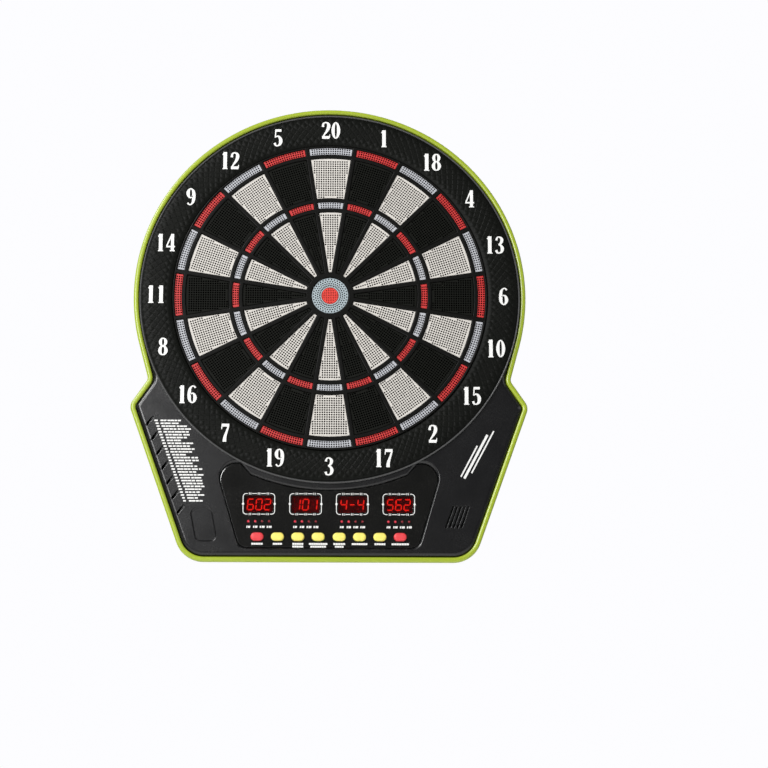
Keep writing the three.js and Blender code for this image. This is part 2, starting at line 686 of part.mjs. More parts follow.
function indicatorHoles() {
  const holes = [];
  for (let i = 0; i < DISPLAY_COUNT; i++) {
    for (let k = 0; k < 4; k++) {
      holes.push(arc(indicatorX(i, k), INDICATOR_Y, INDICATOR_SIZE / 2, 90, 330, 2));
    }
  }
  return holes;
}

/** The sunk fascia with the display windows, lamp holes and button holes. */
function controlPanel() {
  const windows = Array.from({ length: DISPLAY_COUNT }, (_, i) =>
    rectangle(displayX(i), DISPLAY_Y, WINDOW_WIDTH, WINDOW_HEIGHT),
  );
  const keys = BUTTON_NAMES.map((_, i) =>
    roundedRectangle(
      buttonX(i),
      BUTTON_Y,
      BUTTON_WIDTH + 2 * BUTTON_PLAY,
      BUTTON_HEIGHT + 2 * BUTTON_PLAY,
      BUTTON_HEIGHT / 2,
    ),
  );
  const lipTop = FACE_BACK - GAP;
  const lip = plate(panelOutline(PANEL_LIP), PANEL_BACK, lipTop);
  const raised = plate(panelOutline(-SEGMENT_PLAY), PANEL_BACK, PANEL_FRONT);
  const holes = [...windows, ...keys, ...indicatorHoles()].map((hole) =>
    plate(hole, PANEL_BACK - PASS, PANEL_FRONT + PASS),
  );
  const postX = DISPLAY_ROW + 5.6;
  const posts = [-1, 1].map((side) => rod(side * postX, BUTTON_Y, 2.4, BOARD_FRONT + GAP, PANEL_BACK + PASS, 8));
  return join(cut(join(lip, raised), ...holes), ...posts);
}

function displayLens() {
  const top = DISPLAY_Y + DISPLAY_HEIGHT / 2 + 1.8;
  const bottom = INDICATOR_Y - 3.5;
  const outline = roundedRectangle(0, (top + bottom) / 2, 2 * DISPLAY_ROW + 5, top - bottom, 2, 2);
  return plate(outline, LENS_FRONT - LENS_THICKNESS, LENS_FRONT);
}

function displayBoard() {
  const top = DISPLAY_Y + DISPLAY_HEIGHT / 2 + 3;
  const bottom = BUTTON_Y - BUTTON_HEIGHT / 2 - 3.5;
  const board = box(0, (top + bottom) / 2, 2 * DISPLAY_ROW + 17, top - bottom, BOARD_FRONT - BOARD_THICKNESS, BOARD_FRONT);
  const lamps = [];
  for (let i = 0; i < DISPLAY_COUNT; i++) {
    for (let k = 0; k < 4; k++) {
      lamps.push(box(indicatorX(i, k), INDICATOR_Y, 2.6, 2.6, BOARD_FRONT - PASS / 2, DISPLAY_FRONT - GAP));
    }
  }
  return join(board, ...lamps);
}

function buttonMat() {
  const width = 2 * buttonX(BUTTON_NAMES.length - 1) + BUTTON_WIDTH + 4;
  const base = BOARD_FRONT + GAP;
  const sheet = box(0, BUTTON_Y, width, BUTTON_HEIGHT + 4, base, base + 1.6);
  const domes = BUTTON_NAMES.map((_, i) =>
    loft([
      { outline: circle(buttonX(i), BUTTON_Y, 4, 10), z: base + 1 },
      { outline: circle(buttonX(i), BUTTON_Y, 2.8, 10), z: MAT_FRONT },
    ]),
  );
  return join(sheet, ...domes);
}

function button() {
  const keyCorner = BUTTON_HEIGHT / 2 - 0.4;
  const top = PANEL_FRONT + BUTTON_PROUD;
  const cap = (shrink) =>
    roundedRectangle(0, 0, BUTTON_WIDTH - 2 * shrink, BUTTON_HEIGHT - 2 * shrink, keyCorner - shrink);
  const key = loft([
    { outline: cap(0), z: BUTTON_BACK },
    { outline: cap(0), z: top - 1 },
    { outline: cap(1), z: top },
  ]);
  const lip = roundedRectangle(0, 0, BUTTON_WIDTH + 2 * BUTTON_LIP, BUTTON_HEIGHT + 2 * BUTTON_LIP, keyCorner, 2);
  return join(key, plate(lip, BUTTON_BACK, BUTTON_SEAT));
}

function scoreDisplay() {
  return box(0, 0, DISPLAY_WIDTH + 2, DISPLAY_HEIGHT + 1.5, DISPLAY_FRONT - DISPLAY_BODY, DISPLAY_FRONT);
}

// ---------------------------------------------------------------- electrics

const MAIN_BOARD_Z = 10.9;
const CONNECTOR_HEIGHT = 3;

function mainBoard() {
  const top = MAIN_BOARD_Z + BOARD_THICKNESS;
  const board = box(MAIN_BOARD_X, MAIN_BOARD_Y, MAIN_BOARD_WIDTH, MAIN_BOARD_HEIGHT, MAIN_BOARD_Z, top);
  const chips = [
    box(MAIN_BOARD_X - 4, MAIN_BOARD_Y - 4, 14, 14, top - PASS, top + 2),
    box(MAIN_BOARD_X - 4, MAIN_BOARD_Y - 19, 18, 7, top - PASS, top + 2.4),
    rod(MAIN_BOARD_X - 14, MAIN_BOARD_Y + 14, 3.2, top - PASS, top + 6, 10),
    box(MAIN_BOARD_X + 10, MAIN_BOARD_Y + 22, TAIL_WIDTH + 2, 5, top - PASS, top + CONNECTOR_HEIGHT),
    box(MAIN_BOARD_X + 18.5, MAIN_BOARD_Y - 15, 5, 16, top - PASS, top + CONNECTOR_HEIGHT),
  ];
  return join(board, ...chips);
}

/** A flat cable: a ribbon that follows a bent line, seen from its edge, at one place across. */
function ribbon(line, thickness) {
  const outline = [...line];
  for (const point of [...line].reverse()) {
    outline.push(new THREE.Vector2(point.x, point.y + thickness));
  }
  return outline;
}

/** From the membrane's tail down to its socket on the main board. */
function membraneCable() {
  const start = -reachOfTail() - GAP;
  const socketTop = MAIN_BOARD_Z + BOARD_THICKNESS + CONNECTOR_HEIGHT + GAP;
  const end = MAIN_BOARD_Y + 20;
  const line = [
    new THREE.Vector2(start, MEMBRANE_Z),
    new THREE.Vector2((start + end) / 2, Math.max(MEMBRANE_Z, socketTop) + 1),
    new THREE.Vector2(end, socketTop),
  ];
  const shape = new THREE.Shape(ribbon(line, 0.6));
  const geometry = new THREE.ExtrudeGeometry(shape, { depth: TAIL_WIDTH - 2, bevelEnabled: false });
  // the drawn line is (height, depth), so it is turned to stand across the cabinet
  geometry.applyMatrix4(new THREE.Matrix4().set(0, 0, 1, TAIL_X - 6, 1, 0, 0, 0, 0, 1, 0, 0, 0, 0, 0, 1));
  return solidOf(geometry);
}

/** From the main board across to the display board. */
function displayCable() {
  const socketTop = MAIN_BOARD_Z + BOARD_THICKNESS + CONNECTOR_HEIGHT + GAP;
  const boardTop = BOARD_FRONT + GAP;
  const start = MAIN_BOARD_X + 17;
  const end = -(DISPLAY_ROW + 8.5) + 3;
  const line = [
    new THREE.Vector2(start, socketTop),
    new THREE.Vector2((start + end) / 2, Math.max(socketTop, boardTop) + 2),
    new THREE.Vector2(end, boardTop),
  ];
  const shape = new THREE.Shape(ribbon(line, 0.6));
  const geometry = new THREE.ExtrudeGeometry(shape, { depth: 12, bevelEnabled: false });
  // the drawn line is (width, depth), so it is laid flat
  geometry.applyMatrix4(
    new THREE.Matrix4().set(1, 0, 0, 0, 0, 0, -1, DISPLAY_Y + 14, 0, 1, 0, 0, 0, 0, 0, 1),
  );
  return solidOf(geometry);
}

function speaker() {
  const rim = FACE_BACK - GAP;
  return turned(
    [
      [0, rim - 13],
      [SPEAKER_R / 2, rim - 13],
      [SPEAKER_R / 2, rim - 8],
      [SPEAKER_R - 1.5, rim - 2.6],
      [SPEAKER_R, rim - 2.2],
      [SPEAKER_R, rim],
      [SPEAKER_R - 2.5, rim],
      [SPEAKER_R / 3, rim - 4],
      [0, rim - 2.8],
    ],
    20,
  );
}

/** The two-core lead from the display board to the speaker, a short bridge in the air. */
function speakerCable() {
  const from = DISPLAY_ROW + 8.5 - 4;
  const boardTop = BOARD_FRONT + GAP + 1.1;
  const to = SPEAKER_X - SPEAKER_R / 2 - 0.8;
  const path = new THREE.CatmullRomCurve3([
    new THREE.Vector3(from, SPEAKER_Y, boardTop),
    new THREE.Vector3(from + 5, SPEAKER_Y, boardTop + 0.4),
    new THREE.Vector3((from + to) / 2 + 2, SPEAKER_Y + 1, boardTop - 0.2),
    new THREE.Vector3(to, SPEAKER_Y, FACE_BACK - GAP - 11),
  ]);
  const section = new THREE.Shape(circle(0, 0, 1, 8));
  return solidOf(new THREE.ExtrudeGeometry(section, { steps: 8, extrudePath: path }));
}

function powerJack() {
  const inside = coverBottomY + REAR_DRAFT + WALL + GAP;
  const geometry = new THREE.BoxGeometry(14, 12, 8.6);
  geometry.translate(JACK_X, inside + 6, JACK_Z + 0.2);
  const face = coverBottomY + REAR_DRAFT / 2;
  const body = join(solidOf(geometry), upright(JACK_X, JACK_BARREL_R, face, inside + 2, JACK_Z, 16));
  const bore = upright(JACK_X, JACK_BORE_R, face - PASS, face + JACK_BORE_DEPTH, JACK_Z, 16);
  const pin = upright(JACK_X, JACK_PIN_R, face + 1, face + JACK_BORE_DEPTH + PASS, JACK_Z, 8);
  return join(cut(body, bore), pin);
}

// ---------------------------------------------------------------- materials

const plastic = (color, roughness) => new THREE.MeshStandardMaterial({ color, roughness, metalness: 0 });
const SATIN_BLACK = plastic("#1b1b1d", 0.5);
const MATT_BLACK = plastic("#121212", 0.75);
const GLOSS_BLACK = plastic("#0c0c0c", 0.15);
const LIME = plastic("#a4c322", 0.4);
const SEGMENT_WHITE = plastic("#d8d2c8", 0.6);
const SEGMENT_BLACK = plastic("#161714", 0.6);
const SEGMENT_GREY = plastic("#a9aeb8", 0.6);
const SEGMENT_RED = plastic("#c8322c", 0.55);
const KEY_YELLOW = plastic("#e8dc6a", 0.45);
const KEY_RED = plastic("#d8242c", 0.45);
const SMOKED_RED = plastic("#3a0508", 0.1);
const DISPLAY_GREY = plastic("#2a2422", 0.5);
const BOARD_GREEN = plastic("#1c5a34", 0.5);
const FILM = plastic("#c9b98f", 0.35);
const FOAM = plastic("#3a3a3c", 0.95);
const FIBREBOARD = plastic("#8a6238", 0.9);
const CABLE_GREY = plastic("#8d8f92", 0.6);
const RUBBER = plastic("#c8c8c4", 0.9);
const STEEL = new THREE.MeshStandardMaterial({ color: "#a8a9ab", roughness: 0.35, metalness: 1 });

// ---------------------------------------------------------------- assembly

const dartboard = new THREE.Group();

/** Adds one named piece, and gives it back so that it can be placed. */
function add(name, solidOrGeometry, material) {
  const geometry = solidOrGeometry.isBufferGeometry ? solidOrGeometry : geometryOf(solidOrGeometry);
  const mesh = new THREE.Mesh(geometry, material);
  mesh.name = name;
  dartboard.add(mesh);
  return mesh;
}

add("front_housing", frontHousing(), SATIN_BLACK);
add("rear_cover", rearCover(), MATT_BLACK);
add("edge_trim", edgeTrim(), LIME);
add("catch_ring", catchRing(), MATT_BLACK);
add("segment_spider", segmentSpider(), MATT_BLACK);
add("control_panel", controlPanel(), GLOSS_BLACK);
add("display_lens", displayLens(), SMOKED_RED);
add("display_board", displayBoard(), BOARD_GREEN);
add("button_mat", buttonMat(), RUBBER);
add("main_board", mainBoard(), BOARD_GREEN);
add("backing_board", disc(BACKING_R, BACKING_Z, BACKING_Z + BACKING_THICKNESS), FIBREBOARD);
add("sensor_membrane", sensorMembrane(), FILM);
add("return_pad", disc(PAD_R, PAD_Z, PAD_Z + PAD_THICKNESS), FOAM);
add("membrane_cable", membraneCable(), CABLE_GREY);
add("display_cable", displayCable(), CABLE_GREY);
add("speaker_cable", speakerCable(), CABLE_GREY);
add("speaker", speaker(), MATT_BLACK).position.set(SPEAKER_X, SPEAKER_Y, 0);
add("power_jack", powerJack(), MATT_BLACK);

const bedGeometry = geometryOf(segmentBed());
NUMBERS.forEach((number, i) => {
  const bed = add(`segment_bed_${number}`, bedGeometry, i % 2 ? SEGMENT_BLACK : SEGMENT_WHITE);
  bed.rotation.z = -2 * HALF_WEDGE * i * DEGREE;
});
add("bull_ring", bullRing(), SEGMENT_GREY);
add("bullseye", bullseye(), SEGMENT_RED);

const displayGeometry = geometryOf(scoreDisplay());
for (let i = 0; i < DISPLAY_COUNT; i++) {
  add(`score_display_${i + 1}`, displayGeometry, DISPLAY_GREY).position.set(displayX(i), DISPLAY_Y, 0);
}

const buttonGeometry = geometryOf(button());
BUTTON_NAMES.forEach((name, i) => {
  const outermost = i === 0 || i === BUTTON_NAMES.length - 1;
  const key = add(`button_${name}`, buttonGeometry, outermost ? KEY_RED : KEY_YELLOW);
  key.position.set(buttonX(i), BUTTON_Y, 0);
});

const screwGeometry = geometryOf(screw());
SCREW_PLACES.forEach(({ x, y }, i) => {
  add(`case_screw_${i + 1}`, screwGeometry, STEEL).position.set(x, y, 0);
});

// stood up on the wall: x stays, y becomes +Z, and the face looks along -Y
dartboard.rotation.x = Math.PI / 2;

const part = new THREE.Group();
part.add(dartboard);
export default part;
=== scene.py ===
# %% [markdown]
# # An electronic dartboard in its cabinet
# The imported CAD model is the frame: it fixes every size and every moving body. This script dresses
# it. Shapes are drawn flat, as the player sees them, in millimetres: x to the right, y up and z from
# the wall towards the player. A finished piece is then stood up into the frame, in metres.

import math

import bmesh
import bpy
from mathutils import Matrix, Vector


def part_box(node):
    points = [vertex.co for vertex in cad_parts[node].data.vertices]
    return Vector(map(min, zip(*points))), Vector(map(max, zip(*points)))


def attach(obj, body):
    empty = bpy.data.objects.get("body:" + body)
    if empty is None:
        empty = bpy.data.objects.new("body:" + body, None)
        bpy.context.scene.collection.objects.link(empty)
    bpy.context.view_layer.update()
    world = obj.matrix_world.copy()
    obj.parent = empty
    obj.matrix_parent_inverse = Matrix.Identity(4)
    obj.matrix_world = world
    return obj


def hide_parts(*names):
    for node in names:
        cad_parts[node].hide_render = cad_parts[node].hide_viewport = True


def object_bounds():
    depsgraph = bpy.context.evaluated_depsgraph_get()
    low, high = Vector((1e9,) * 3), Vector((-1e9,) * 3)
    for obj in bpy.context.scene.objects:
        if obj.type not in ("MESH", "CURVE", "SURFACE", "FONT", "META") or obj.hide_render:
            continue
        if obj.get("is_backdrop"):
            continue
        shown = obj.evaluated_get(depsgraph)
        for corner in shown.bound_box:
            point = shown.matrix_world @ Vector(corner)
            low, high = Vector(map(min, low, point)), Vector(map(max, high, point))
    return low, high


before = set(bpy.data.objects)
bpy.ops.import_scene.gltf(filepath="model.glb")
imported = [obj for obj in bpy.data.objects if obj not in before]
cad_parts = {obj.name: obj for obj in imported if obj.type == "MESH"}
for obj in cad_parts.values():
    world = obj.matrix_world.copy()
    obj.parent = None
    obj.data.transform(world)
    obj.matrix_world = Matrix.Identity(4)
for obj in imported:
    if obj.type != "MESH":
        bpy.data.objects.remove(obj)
cad_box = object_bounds()
STAND = Matrix(((0.001, 0, 0, 0), (0, 0, -0.001, 0), (0, 0.001, 0, 0), (0, 0, 0, 1)))


def front_of(node):
    """How far a CAD node reaches from the wall, in millimetres."""
    return -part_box(node)[0].y * 1000


def back_of(node):
    """Where a CAD node starts, from the wall, in millimetres."""
    return -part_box(node)[1].y * 1000


FACE = front_of("front_housing")
SPIDER_TOP = front_of("segment_spider")
SEGMENT_TOP = front_of("bullseye")
FLANGE = back_of("bullseye")
PANEL_FRONT = FACE - 1.6
PANEL_BACK = PANEL_FRONT - 2.4

# %% [markdown]
# ## The camera
# The board hangs on a wall and is seen from a little below, from about two and a half metres away.
# A long lens from that far keeps the round field nearly round. The camera comes first, so that
# every later step can be looked at from the same place.

# %% Camera
EYE_ANGLE = math.radians(15.2)
EYE_DISTANCE = 2.4
bull = Vector((0, -SEGMENT_TOP / 1000, 0))
eye = bull + EYE_DISTANCE * Vector((0, -math.cos(EYE_ANGLE), -math.sin(EYE_ANGLE)))
aim = Vector((0.0597, bull.y, -0.100))
camera = bpy.data.objects.new("camera", bpy.data.cameras.new("camera"))
bpy.context.scene.collection.objects.link(camera)
camera.data.lens = 101.5
camera.data.clip_end = 50
camera.location = eye
camera.rotation_euler = (aim - eye).to_track_quat("-Z", "Y").to_euler()
bpy.context.scene.camera = camera
print("eye at", tuple(round(c, 3) for c in eye))

# %% [markdown]
# ## Building node trees
# Geometry Nodes and shaders are both node trees, so one small helper serves them all. It makes a
# node, and each input is either a plain value or a link from another node's output. Named sockets
# on the tree itself are its controls.


# %% Node helpers
def new_tree(name, kind, inputs, outputs):
    """A node group whose named sockets are given as {name: (socket type, value)}."""
    tree = bpy.data.node_groups.new(name, kind)
    for label, (socket, value) in inputs.items():
        made = tree.interface.new_socket(label, in_out="INPUT", socket_type=socket)
        if value is not None:
            made.default_value = value
    for label, socket in outputs.items():
        tree.interface.new_socket(label, in_out="OUTPUT", socket_type=socket)
    return tree


def add(tree, kind, inputs=None, **settings):
    """One node. Inputs go by name or number, and hold a value or another node's output."""
    made = tree.nodes.new(kind)
    for name, value in settings.items():
        setattr(made, name, value)
    for name, value in (inputs or {}).items():
        socket = made.inputs[name]
        if isinstance(value, bpy.types.NodeSocket):
            tree.links.new(value, socket)
        else:
            socket.default_value = value
    return made


def tools(tree):
    """Short names for one tree: a new node, a new node's first output, and a sum."""
    def node(kind, inputs=None, **settings):
        return add(tree, kind, inputs, **settings)

    def first(kind, inputs=None, **settings):
        return node(kind, inputs, **settings).outputs[0]

    def calc(operation, *values):
        return first("ShaderNodeMath", dict(enumerate(values)), operation=operation)

    return node, first, calc


def run_tree(tree, mesh, **sizes):
    """Runs a Geometry Nodes tree on a mesh and gives the plain mesh that comes out."""
    blank = bpy.data.objects.new(tree.name, mesh)
    modifier = blank.modifiers.new(tree.name, "NODES")
    modifier.node_group = tree
    wanted = {name.replace("_", " "): value for name, value in sizes.items()}
    for item in tree.interface.items_tree:
        if item.in_out == "INPUT" and item.name.lower() in wanted:
            modifier[item.identifier] = wanted.pop(item.name.lower())
    assert not wanted, wanted
    bpy.context.scene.collection.objects.link(blank)
    depsgraph = bpy.context.evaluated_depsgraph_get()
    made = bpy.data.meshes.new_from_object(blank.evaluated_get(depsgraph), depsgraph=depsgraph)
    bpy.data.objects.remove(blank)
    return made


# %% [markdown]
# ## Flat drawing
# Most of this product is moulded plate: an outline with holes, pushed out to a depth, with its
# corners eased. So the drawing tools are outlines. An outline that can be asked for a little larger
# or smaller, always with the same number of points, gives a bevel: join two sizes at two depths.


# %% Outlines
def arc(x, y, radius, start, end, steps):
    """Points of an arc, both ends included, with the angles in degrees."""
    turns = [math.radians(start + (end - start) * i / steps) for i in range(steps + 1)]
    return [(x + radius * math.cos(a), y + radius * math.sin(a)) for a in turns]


def circle(x, y, radius, steps=48):
    return arc(x, y, radius, 0, 360, steps)[:-1]


def round_corner(before, corner, after, radius, steps):
    """The corner between two straight edges, as an arc."""
    corner = Vector(corner)
    inward = (Vector(before) - corner).normalized()
    outward = (Vector(after) - corner).normalized()
    half = inward.angle(outward) / 2
    centre = corner + (inward + outward).normalized() * radius / math.sin(half)
    start = corner + inward * radius / math.tan(half) - centre
    end = corner + outward * radius / math.tan(half) - centre
    turn = math.atan2(start.cross(end), start.dot(end))
    first = math.degrees(math.atan2(start.y, start.x))
    return arc(centre.x, centre.y, radius, first, first + math.degrees(turn), steps)


def rounded(corners, radius, steps=5):
    """A straight-sided outline with every corner rounded."""
    count = len(corners)
    points = []
    for i, corner in enumerate(corners):
        points += round_corner(corners[i - 1], corner, corners[(i + 1) % count], radius, steps)
    return points


def rectangle(x, y, width, height, lean=0.0):
    """Corners of a rectangle; lean slides its top sideways, as a share of its height."""
    half, tall = width / 2, height / 2
    push = lean * tall
    return [(x - half - push, y - tall), (x + half - push, y - tall),
            (x + half + push, y + tall), (x - half + push, y + tall)]


def pill(x, y, width, length, angle, steps=6):
    """A slot with round ends, turned from upright by an angle in degrees."""
    points = rounded(rectangle(0, 0, width, length), min(width, length) / 2 - 0.01, steps)
    c, s = math.cos(math.radians(angle)), math.sin(math.radians(angle))
    return [(x + c * a - s * b, y + s * a + c * b) for a, b in points]


def lifted(points, z):
    return [(x, y, z) for x, y in points]


# %% [markdown]
# ## From outlines to solids
# `skin` joins loops of equal length with faces, and `cap` closes a flat face, with any holes in it.
# `piece` finishes a mesh. It turns it into the frame, shades it smooth with its real edges kept
# sharp and its flat plates kept flat, and marks the narrow faces along eased edges. Plastic gets
# rubbed there, and the finish looks for the mark.


# %% Solids
def skin(bm, loops):
    """Faces between neighbouring loops. Gives back the first and the last loop of vertices."""
    rings = [[bm.verts.new(point) for point in loop] for loop in loops]
    for low, high in zip(rings, rings[1:]):
        for i in range(len(low)):
            j = (i + 1) % len(low)
            bm.faces.new((low[i], low[j], high[j], high[i]))
    return rings[0], rings[-1]


def cap(bm, *loops):
    """One flat face whose outline is the first loop and whose holes are the others."""
    edges = []
    for loop in loops:
        for i, vert in enumerate(loop):
            other = loop[(i + 1) % len(loop)]
            edges.append(bm.edges.get((vert, other)) or bm.edges.new((vert, other)))
    bmesh.ops.triangle_fill(bm, use_beauty=True, use_dissolve=False, edges=edges)


def finish_mesh(bm):
    """A bmesh as a mesh, with doubles merged and its faces turned out."""
    bmesh.ops.remove_doubles(bm, verts=bm.verts, dist=1e-5)
    bmesh.ops.recalc_face_normals(bm, faces=bm.faces)
    mesh = bpy.data.meshes.new("drawn")
    bm.to_mesh(mesh)
    bm.free()
    return mesh


def turned(profile, steps=288):
    """A ring: a closed chain of (radius, depth) turned about the line of sight."""
    bm = bmesh.new()
    loops = [lifted(circle(0, 0, radius, steps), z) for radius, z in profile]
    skin(bm, loops + loops[:1])
    return finish_mesh(bm)


def slab(levels):
    """A closed solid through outlines of equal length: [(outline, depth), ...], back to front."""
    bm = bmesh.new()
    back, front = skin(bm, [lifted(outline, z) for outline, z in levels])
    cap(bm, back)
    cap(bm, front)
    return finish_mesh(bm)


def joined(*meshes):
    """Several meshes as one."""
    bm = bmesh.new()
    for mesh in meshes:
        bm.from_mesh(mesh)
    made = bpy.data.meshes.new("joined")
    bm.to_mesh(made)
    bm.free()
    return made


def mark_edges(mesh, narrow):
    """A face attribute, 1 on faces narrower than this many millimetres: the eased edges."""
    worn = mesh.attributes.new("worn_edge", "FLOAT", "FACE")
    values = []
    for face in mesh.polygons:
        points = [mesh.vertices[i].co for i in face.vertices]
        around = sum((points[i] - points[i - 1]).length for i in range(len(points)))
        eased = face.area / around < narrow / 2 and 0.05 < abs(face.normal.z) < 0.999
        values.append(1.0 if eased else 0.0)
    worn.data.foreach_set("value", values)


def piece(name, mesh, material, body="cabinet", stands_for=(), slot=None, crisp=32, narrow=0):
    """A finished piece: stood up in the frame, shaded, with its material, riding on its body."""
    if narrow:
        mark_edges(mesh, narrow)
    mesh.transform(STAND)
    mesh.name = name
    mesh.materials.clear()
    mesh.materials.append(material)
    mesh.shade_smooth()
    mesh.set_sharp_from_angle(angle=math.radians(crisp))
    for face in mesh.polygons:
        if abs(face.normal.y) > 0.9999:
            face.use_smooth = False
    made = bpy.data.objects.new(name, mesh)
    bpy.context.scene.collection.objects.link(made)
    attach(made, body)
    if stands_for:
        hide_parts(*stands_for)
    return made


# %% [markdown]
# ## Effects that the finishes share
# Nothing on a moulded product is one flat colour. Three small shader groups are built once and
# placed in every material with its own values. `tone` drifts the colour a little, lays dust on it and
# paints shade inside the holes, `touch` drifts the roughness as hands and wiping do, and `grain` is the
# fine texture that the mould's steel leaves.

# %% Shader groups
tone = new_tree("tone", "ShaderNodeTree",
                {"Colour": ("NodeSocketColor", (0.5, 0.5, 0.5, 1)),
                 "Drift": ("NodeSocketFloat", 0.08),
                 "Dust": ("NodeSocketFloat", 0.05),
                 "Rub": ("NodeSocketFloat", 0.2)},
                {"Colour": "NodeSocketColor"})
node, first, calc = tools(tone)
held = node("NodeGroupInput").outputs
place = node("ShaderNodeTexCoord").outputs["Object"]
cloud = first("ShaderNodeTexNoise", {"Vector": place, "Scale": 22.0, "Detail": 5.0})
swing = calc("SUBTRACT", cloud, 0.5)
lift = calc("MULTIPLY_ADD", swing, held["Drift"], 1.0)
drifted = first("ShaderNodeHueSaturation", {"Value": lift, "Color": held["Colour"]})
specks = first("ShaderNodeTexNoise", {"Vector": place, "Scale": 900.0, "Detail": 3.0})
patches = first("ShaderNodeTexNoise", {"Vector": place, "Scale": 45.0, "Detail": 4.0})
speck = first("ShaderNodeMapRange", {"Value": specks, "From Min": 0.56, "From Max": 0.72})
patch = first("ShaderNodeMapRange", {"Value": patches, "From Min": 0.4, "From Max": 0.75})
dusting = calc("MULTIPLY", calc("MULTIPLY", speck, patch), held["Dust"])
dusty = node("ShaderNodeMix", {0: dusting, 6: drifted, 7: (0.55, 0.52, 0.48, 1)},
            data_type="RGBA").outputs[2]
edge = node("ShaderNodeAttribute", attribute_name="worn_edge").outputs["Fac"]
scuffs = first("ShaderNodeTexNoise", {"Vector": place, "Scale": 260.0, "Detail": 4.0})
scuff = first("ShaderNodeMapRange", {"Value": scuffs, "From Min": 0.42, "From Max": 0.62})
rubbed = calc("MULTIPLY", calc("MULTIPLY", edge, scuff), held["Rub"])
bare = node("ShaderNodeMix", {0: rubbed, 6: dusty, 7: (0.62, 0.61, 0.6, 1)},
           data_type="RGBA").outputs[2]
# Faces marked in_a_hole are mixed almost to black: painted shade inside the holes.
sunk = node("ShaderNodeAttribute", attribute_name="in_a_hole").outputs["Fac"]
depth_shade = node("ShaderNodeMix", {0: calc("MULTIPLY", sunk, 0.86), 6: bare,
                                          7: (0.006, 0.006, 0.006, 1)}, data_type="RGBA").outputs[2]
node("NodeGroupOutput", {"Colour": depth_shade})

touch = new_tree("touch", "ShaderNodeTree",
                 {"Roughness": ("NodeSocketFloat", 0.5), "Smudge": ("NodeSocketFloat", 0.1)},
                 {"Roughness": "NodeSocketFloat"})
node, first, calc = tools(touch)
held = node("NodeGroupInput").outputs
place = node("ShaderNodeTexCoord").outputs["Object"]
hands = first("ShaderNodeTexNoise", {"Vector": place, "Scale": 35.0, "Detail": 6.0})
fine = first("ShaderNodeTexNoise", {"Vector": place, "Scale": 420.0, "Detail": 2.0})
both = calc("SUBTRACT", calc("MULTIPLY_ADD", fine, 0.35, hands), 0.675)
node("NodeGroupOutput",
    {"Roughness": calc("MULTIPLY_ADD", both, held["Smudge"], held["Roughness"])})

grain = new_tree("grain", "ShaderNodeTree",
                 {"Size": ("NodeSocketFloat", 0.5), "Flow": ("NodeSocketFloat", 0.3)},
                 {"Height": "NodeSocketFloat"})
node, first, calc = tools(grain)
held = node("NodeGroupInput").outputs
place = node("ShaderNodeTexCoord").outputs["Object"]
density = calc("DIVIDE", 1000.0, held["Size"])
pits = node("ShaderNodeTexVoronoi", {"Vector": place, "Scale": density},
           feature="SMOOTH_F1").outputs["Distance"]
swell = first("ShaderNodeTexNoise", {"Vector": place, "Scale": 30.0, "Detail": 2.0})
node("NodeGroupOutput", {"Height": calc("MULTIPLY_ADD", swell, held["Flow"], pits)})


def finish(name, colour, roughness, drift=0.1, dust=0.05, rub=0.2, smudge=0.12, size=0.5,
           flow=0.3, depth=0.02, **sockets):
    """A material: the three effects feed one Principled shader, whose own sockets stay plain."""
    made = bpy.data.materials.new(name)
    made.use_nodes = True
    tree = made.node_tree
    shader = tree.nodes["Principled BSDF"]
    toned = add(tree, "ShaderNodeGroup", node_tree=tone)
    for label, value in {"Colour": (*colour, 1), "Drift": drift, "Dust": dust, "Rub": rub}.items():
        toned.inputs[label].default_value = value
    touched = add(tree, "ShaderNodeGroup", node_tree=touch)
    touched.inputs["Roughness"].default_value = roughness
    touched.inputs["Smudge"].default_value = smudge
    grained = add(tree, "ShaderNodeGroup", node_tree=grain)
    grained.inputs["Size"].default_value = size
    grained.inputs["Flow"].default_value = flow
    bump = add(tree, "ShaderNodeBump", {"Height": grained.outputs[0], "Strength": 1.0,
                                        "Distance": depth * 0.001})
    tree.links.new(toned.outputs[0], shader.inputs["Base Color"])
    tree.links.new(touched.outputs[0], shader.inputs["Roughness"])
    tree.links.new(bump.outputs[0], shader.inputs["Normal"])
    for label, value in sockets.items():
        shader.inputs[label.replace("_", " ")].default_value = value
    return made


print("effects:", tone.name, touch.name, grain.name)

# %% [markdown]
# ## Finishes
# The case is satin black plastic, the ring and the web are a deader black, the fascia is gloss, and
# the segments are moulded in colour right through. Values are a little away from pure black and
# pure white, as plastic is.

# %% Materials
CASE_BLACK = finish("satin_case_plastic", (0.006, 0.006, 0.0065), 0.26, size=0.45, depth=0.03, rub=0.05)
RING_BLACK = finish("matt_ring_plastic", (0.0045, 0.005, 0.004), 0.46, size=0.4, rub=0.1, dust=0.03,
                    Specular_IOR_Level=0.09)
# The bead is a lighter grey than the black ring it belongs to: a painted highlight along the ring's edge, on
# top of the real gloss of its lower roughness.
BEAD_GREY_HIGHLIGHT = finish("polished_bead", (0.07, 0.07, 0.07), 0.3, size=0.4, depth=0.008, dust=0.04, rub=0.0)
WEB_BLACK = finish("spider_plastic", (0.0045, 0.0045, 0.004), 0.4, size=0.35, depth=0.015, rub=0.1,
                   dust=0.02, Specular_IOR_Level=0.1)
COVER_BLACK = finish("rear_cover_plastic", (0.03, 0.03, 0.031), 0.6, size=0.9, depth=0.08, dust=0.25)
FASCIA_BLACK = finish("gloss_fascia", (0.004, 0.004, 0.0035), 0.17, drift=0.05, dust=0.04, rub=0.02,
                      smudge=0.16, size=2.0, depth=0.002, Coat_Weight=0.4, Coat_Roughness=0.06)
LIME = finish("lime_trim", (0.35, 0.445, 0.03), 0.3, drift=0.08, dust=0.04, size=0.8, depth=0.01,
              Coat_Weight=0.25, Coat_Roughness=0.2)
BONE_WHITE = finish("segment_white", (0.63, 0.6, 0.555), 0.55, dust=0.06, rub=0.1)
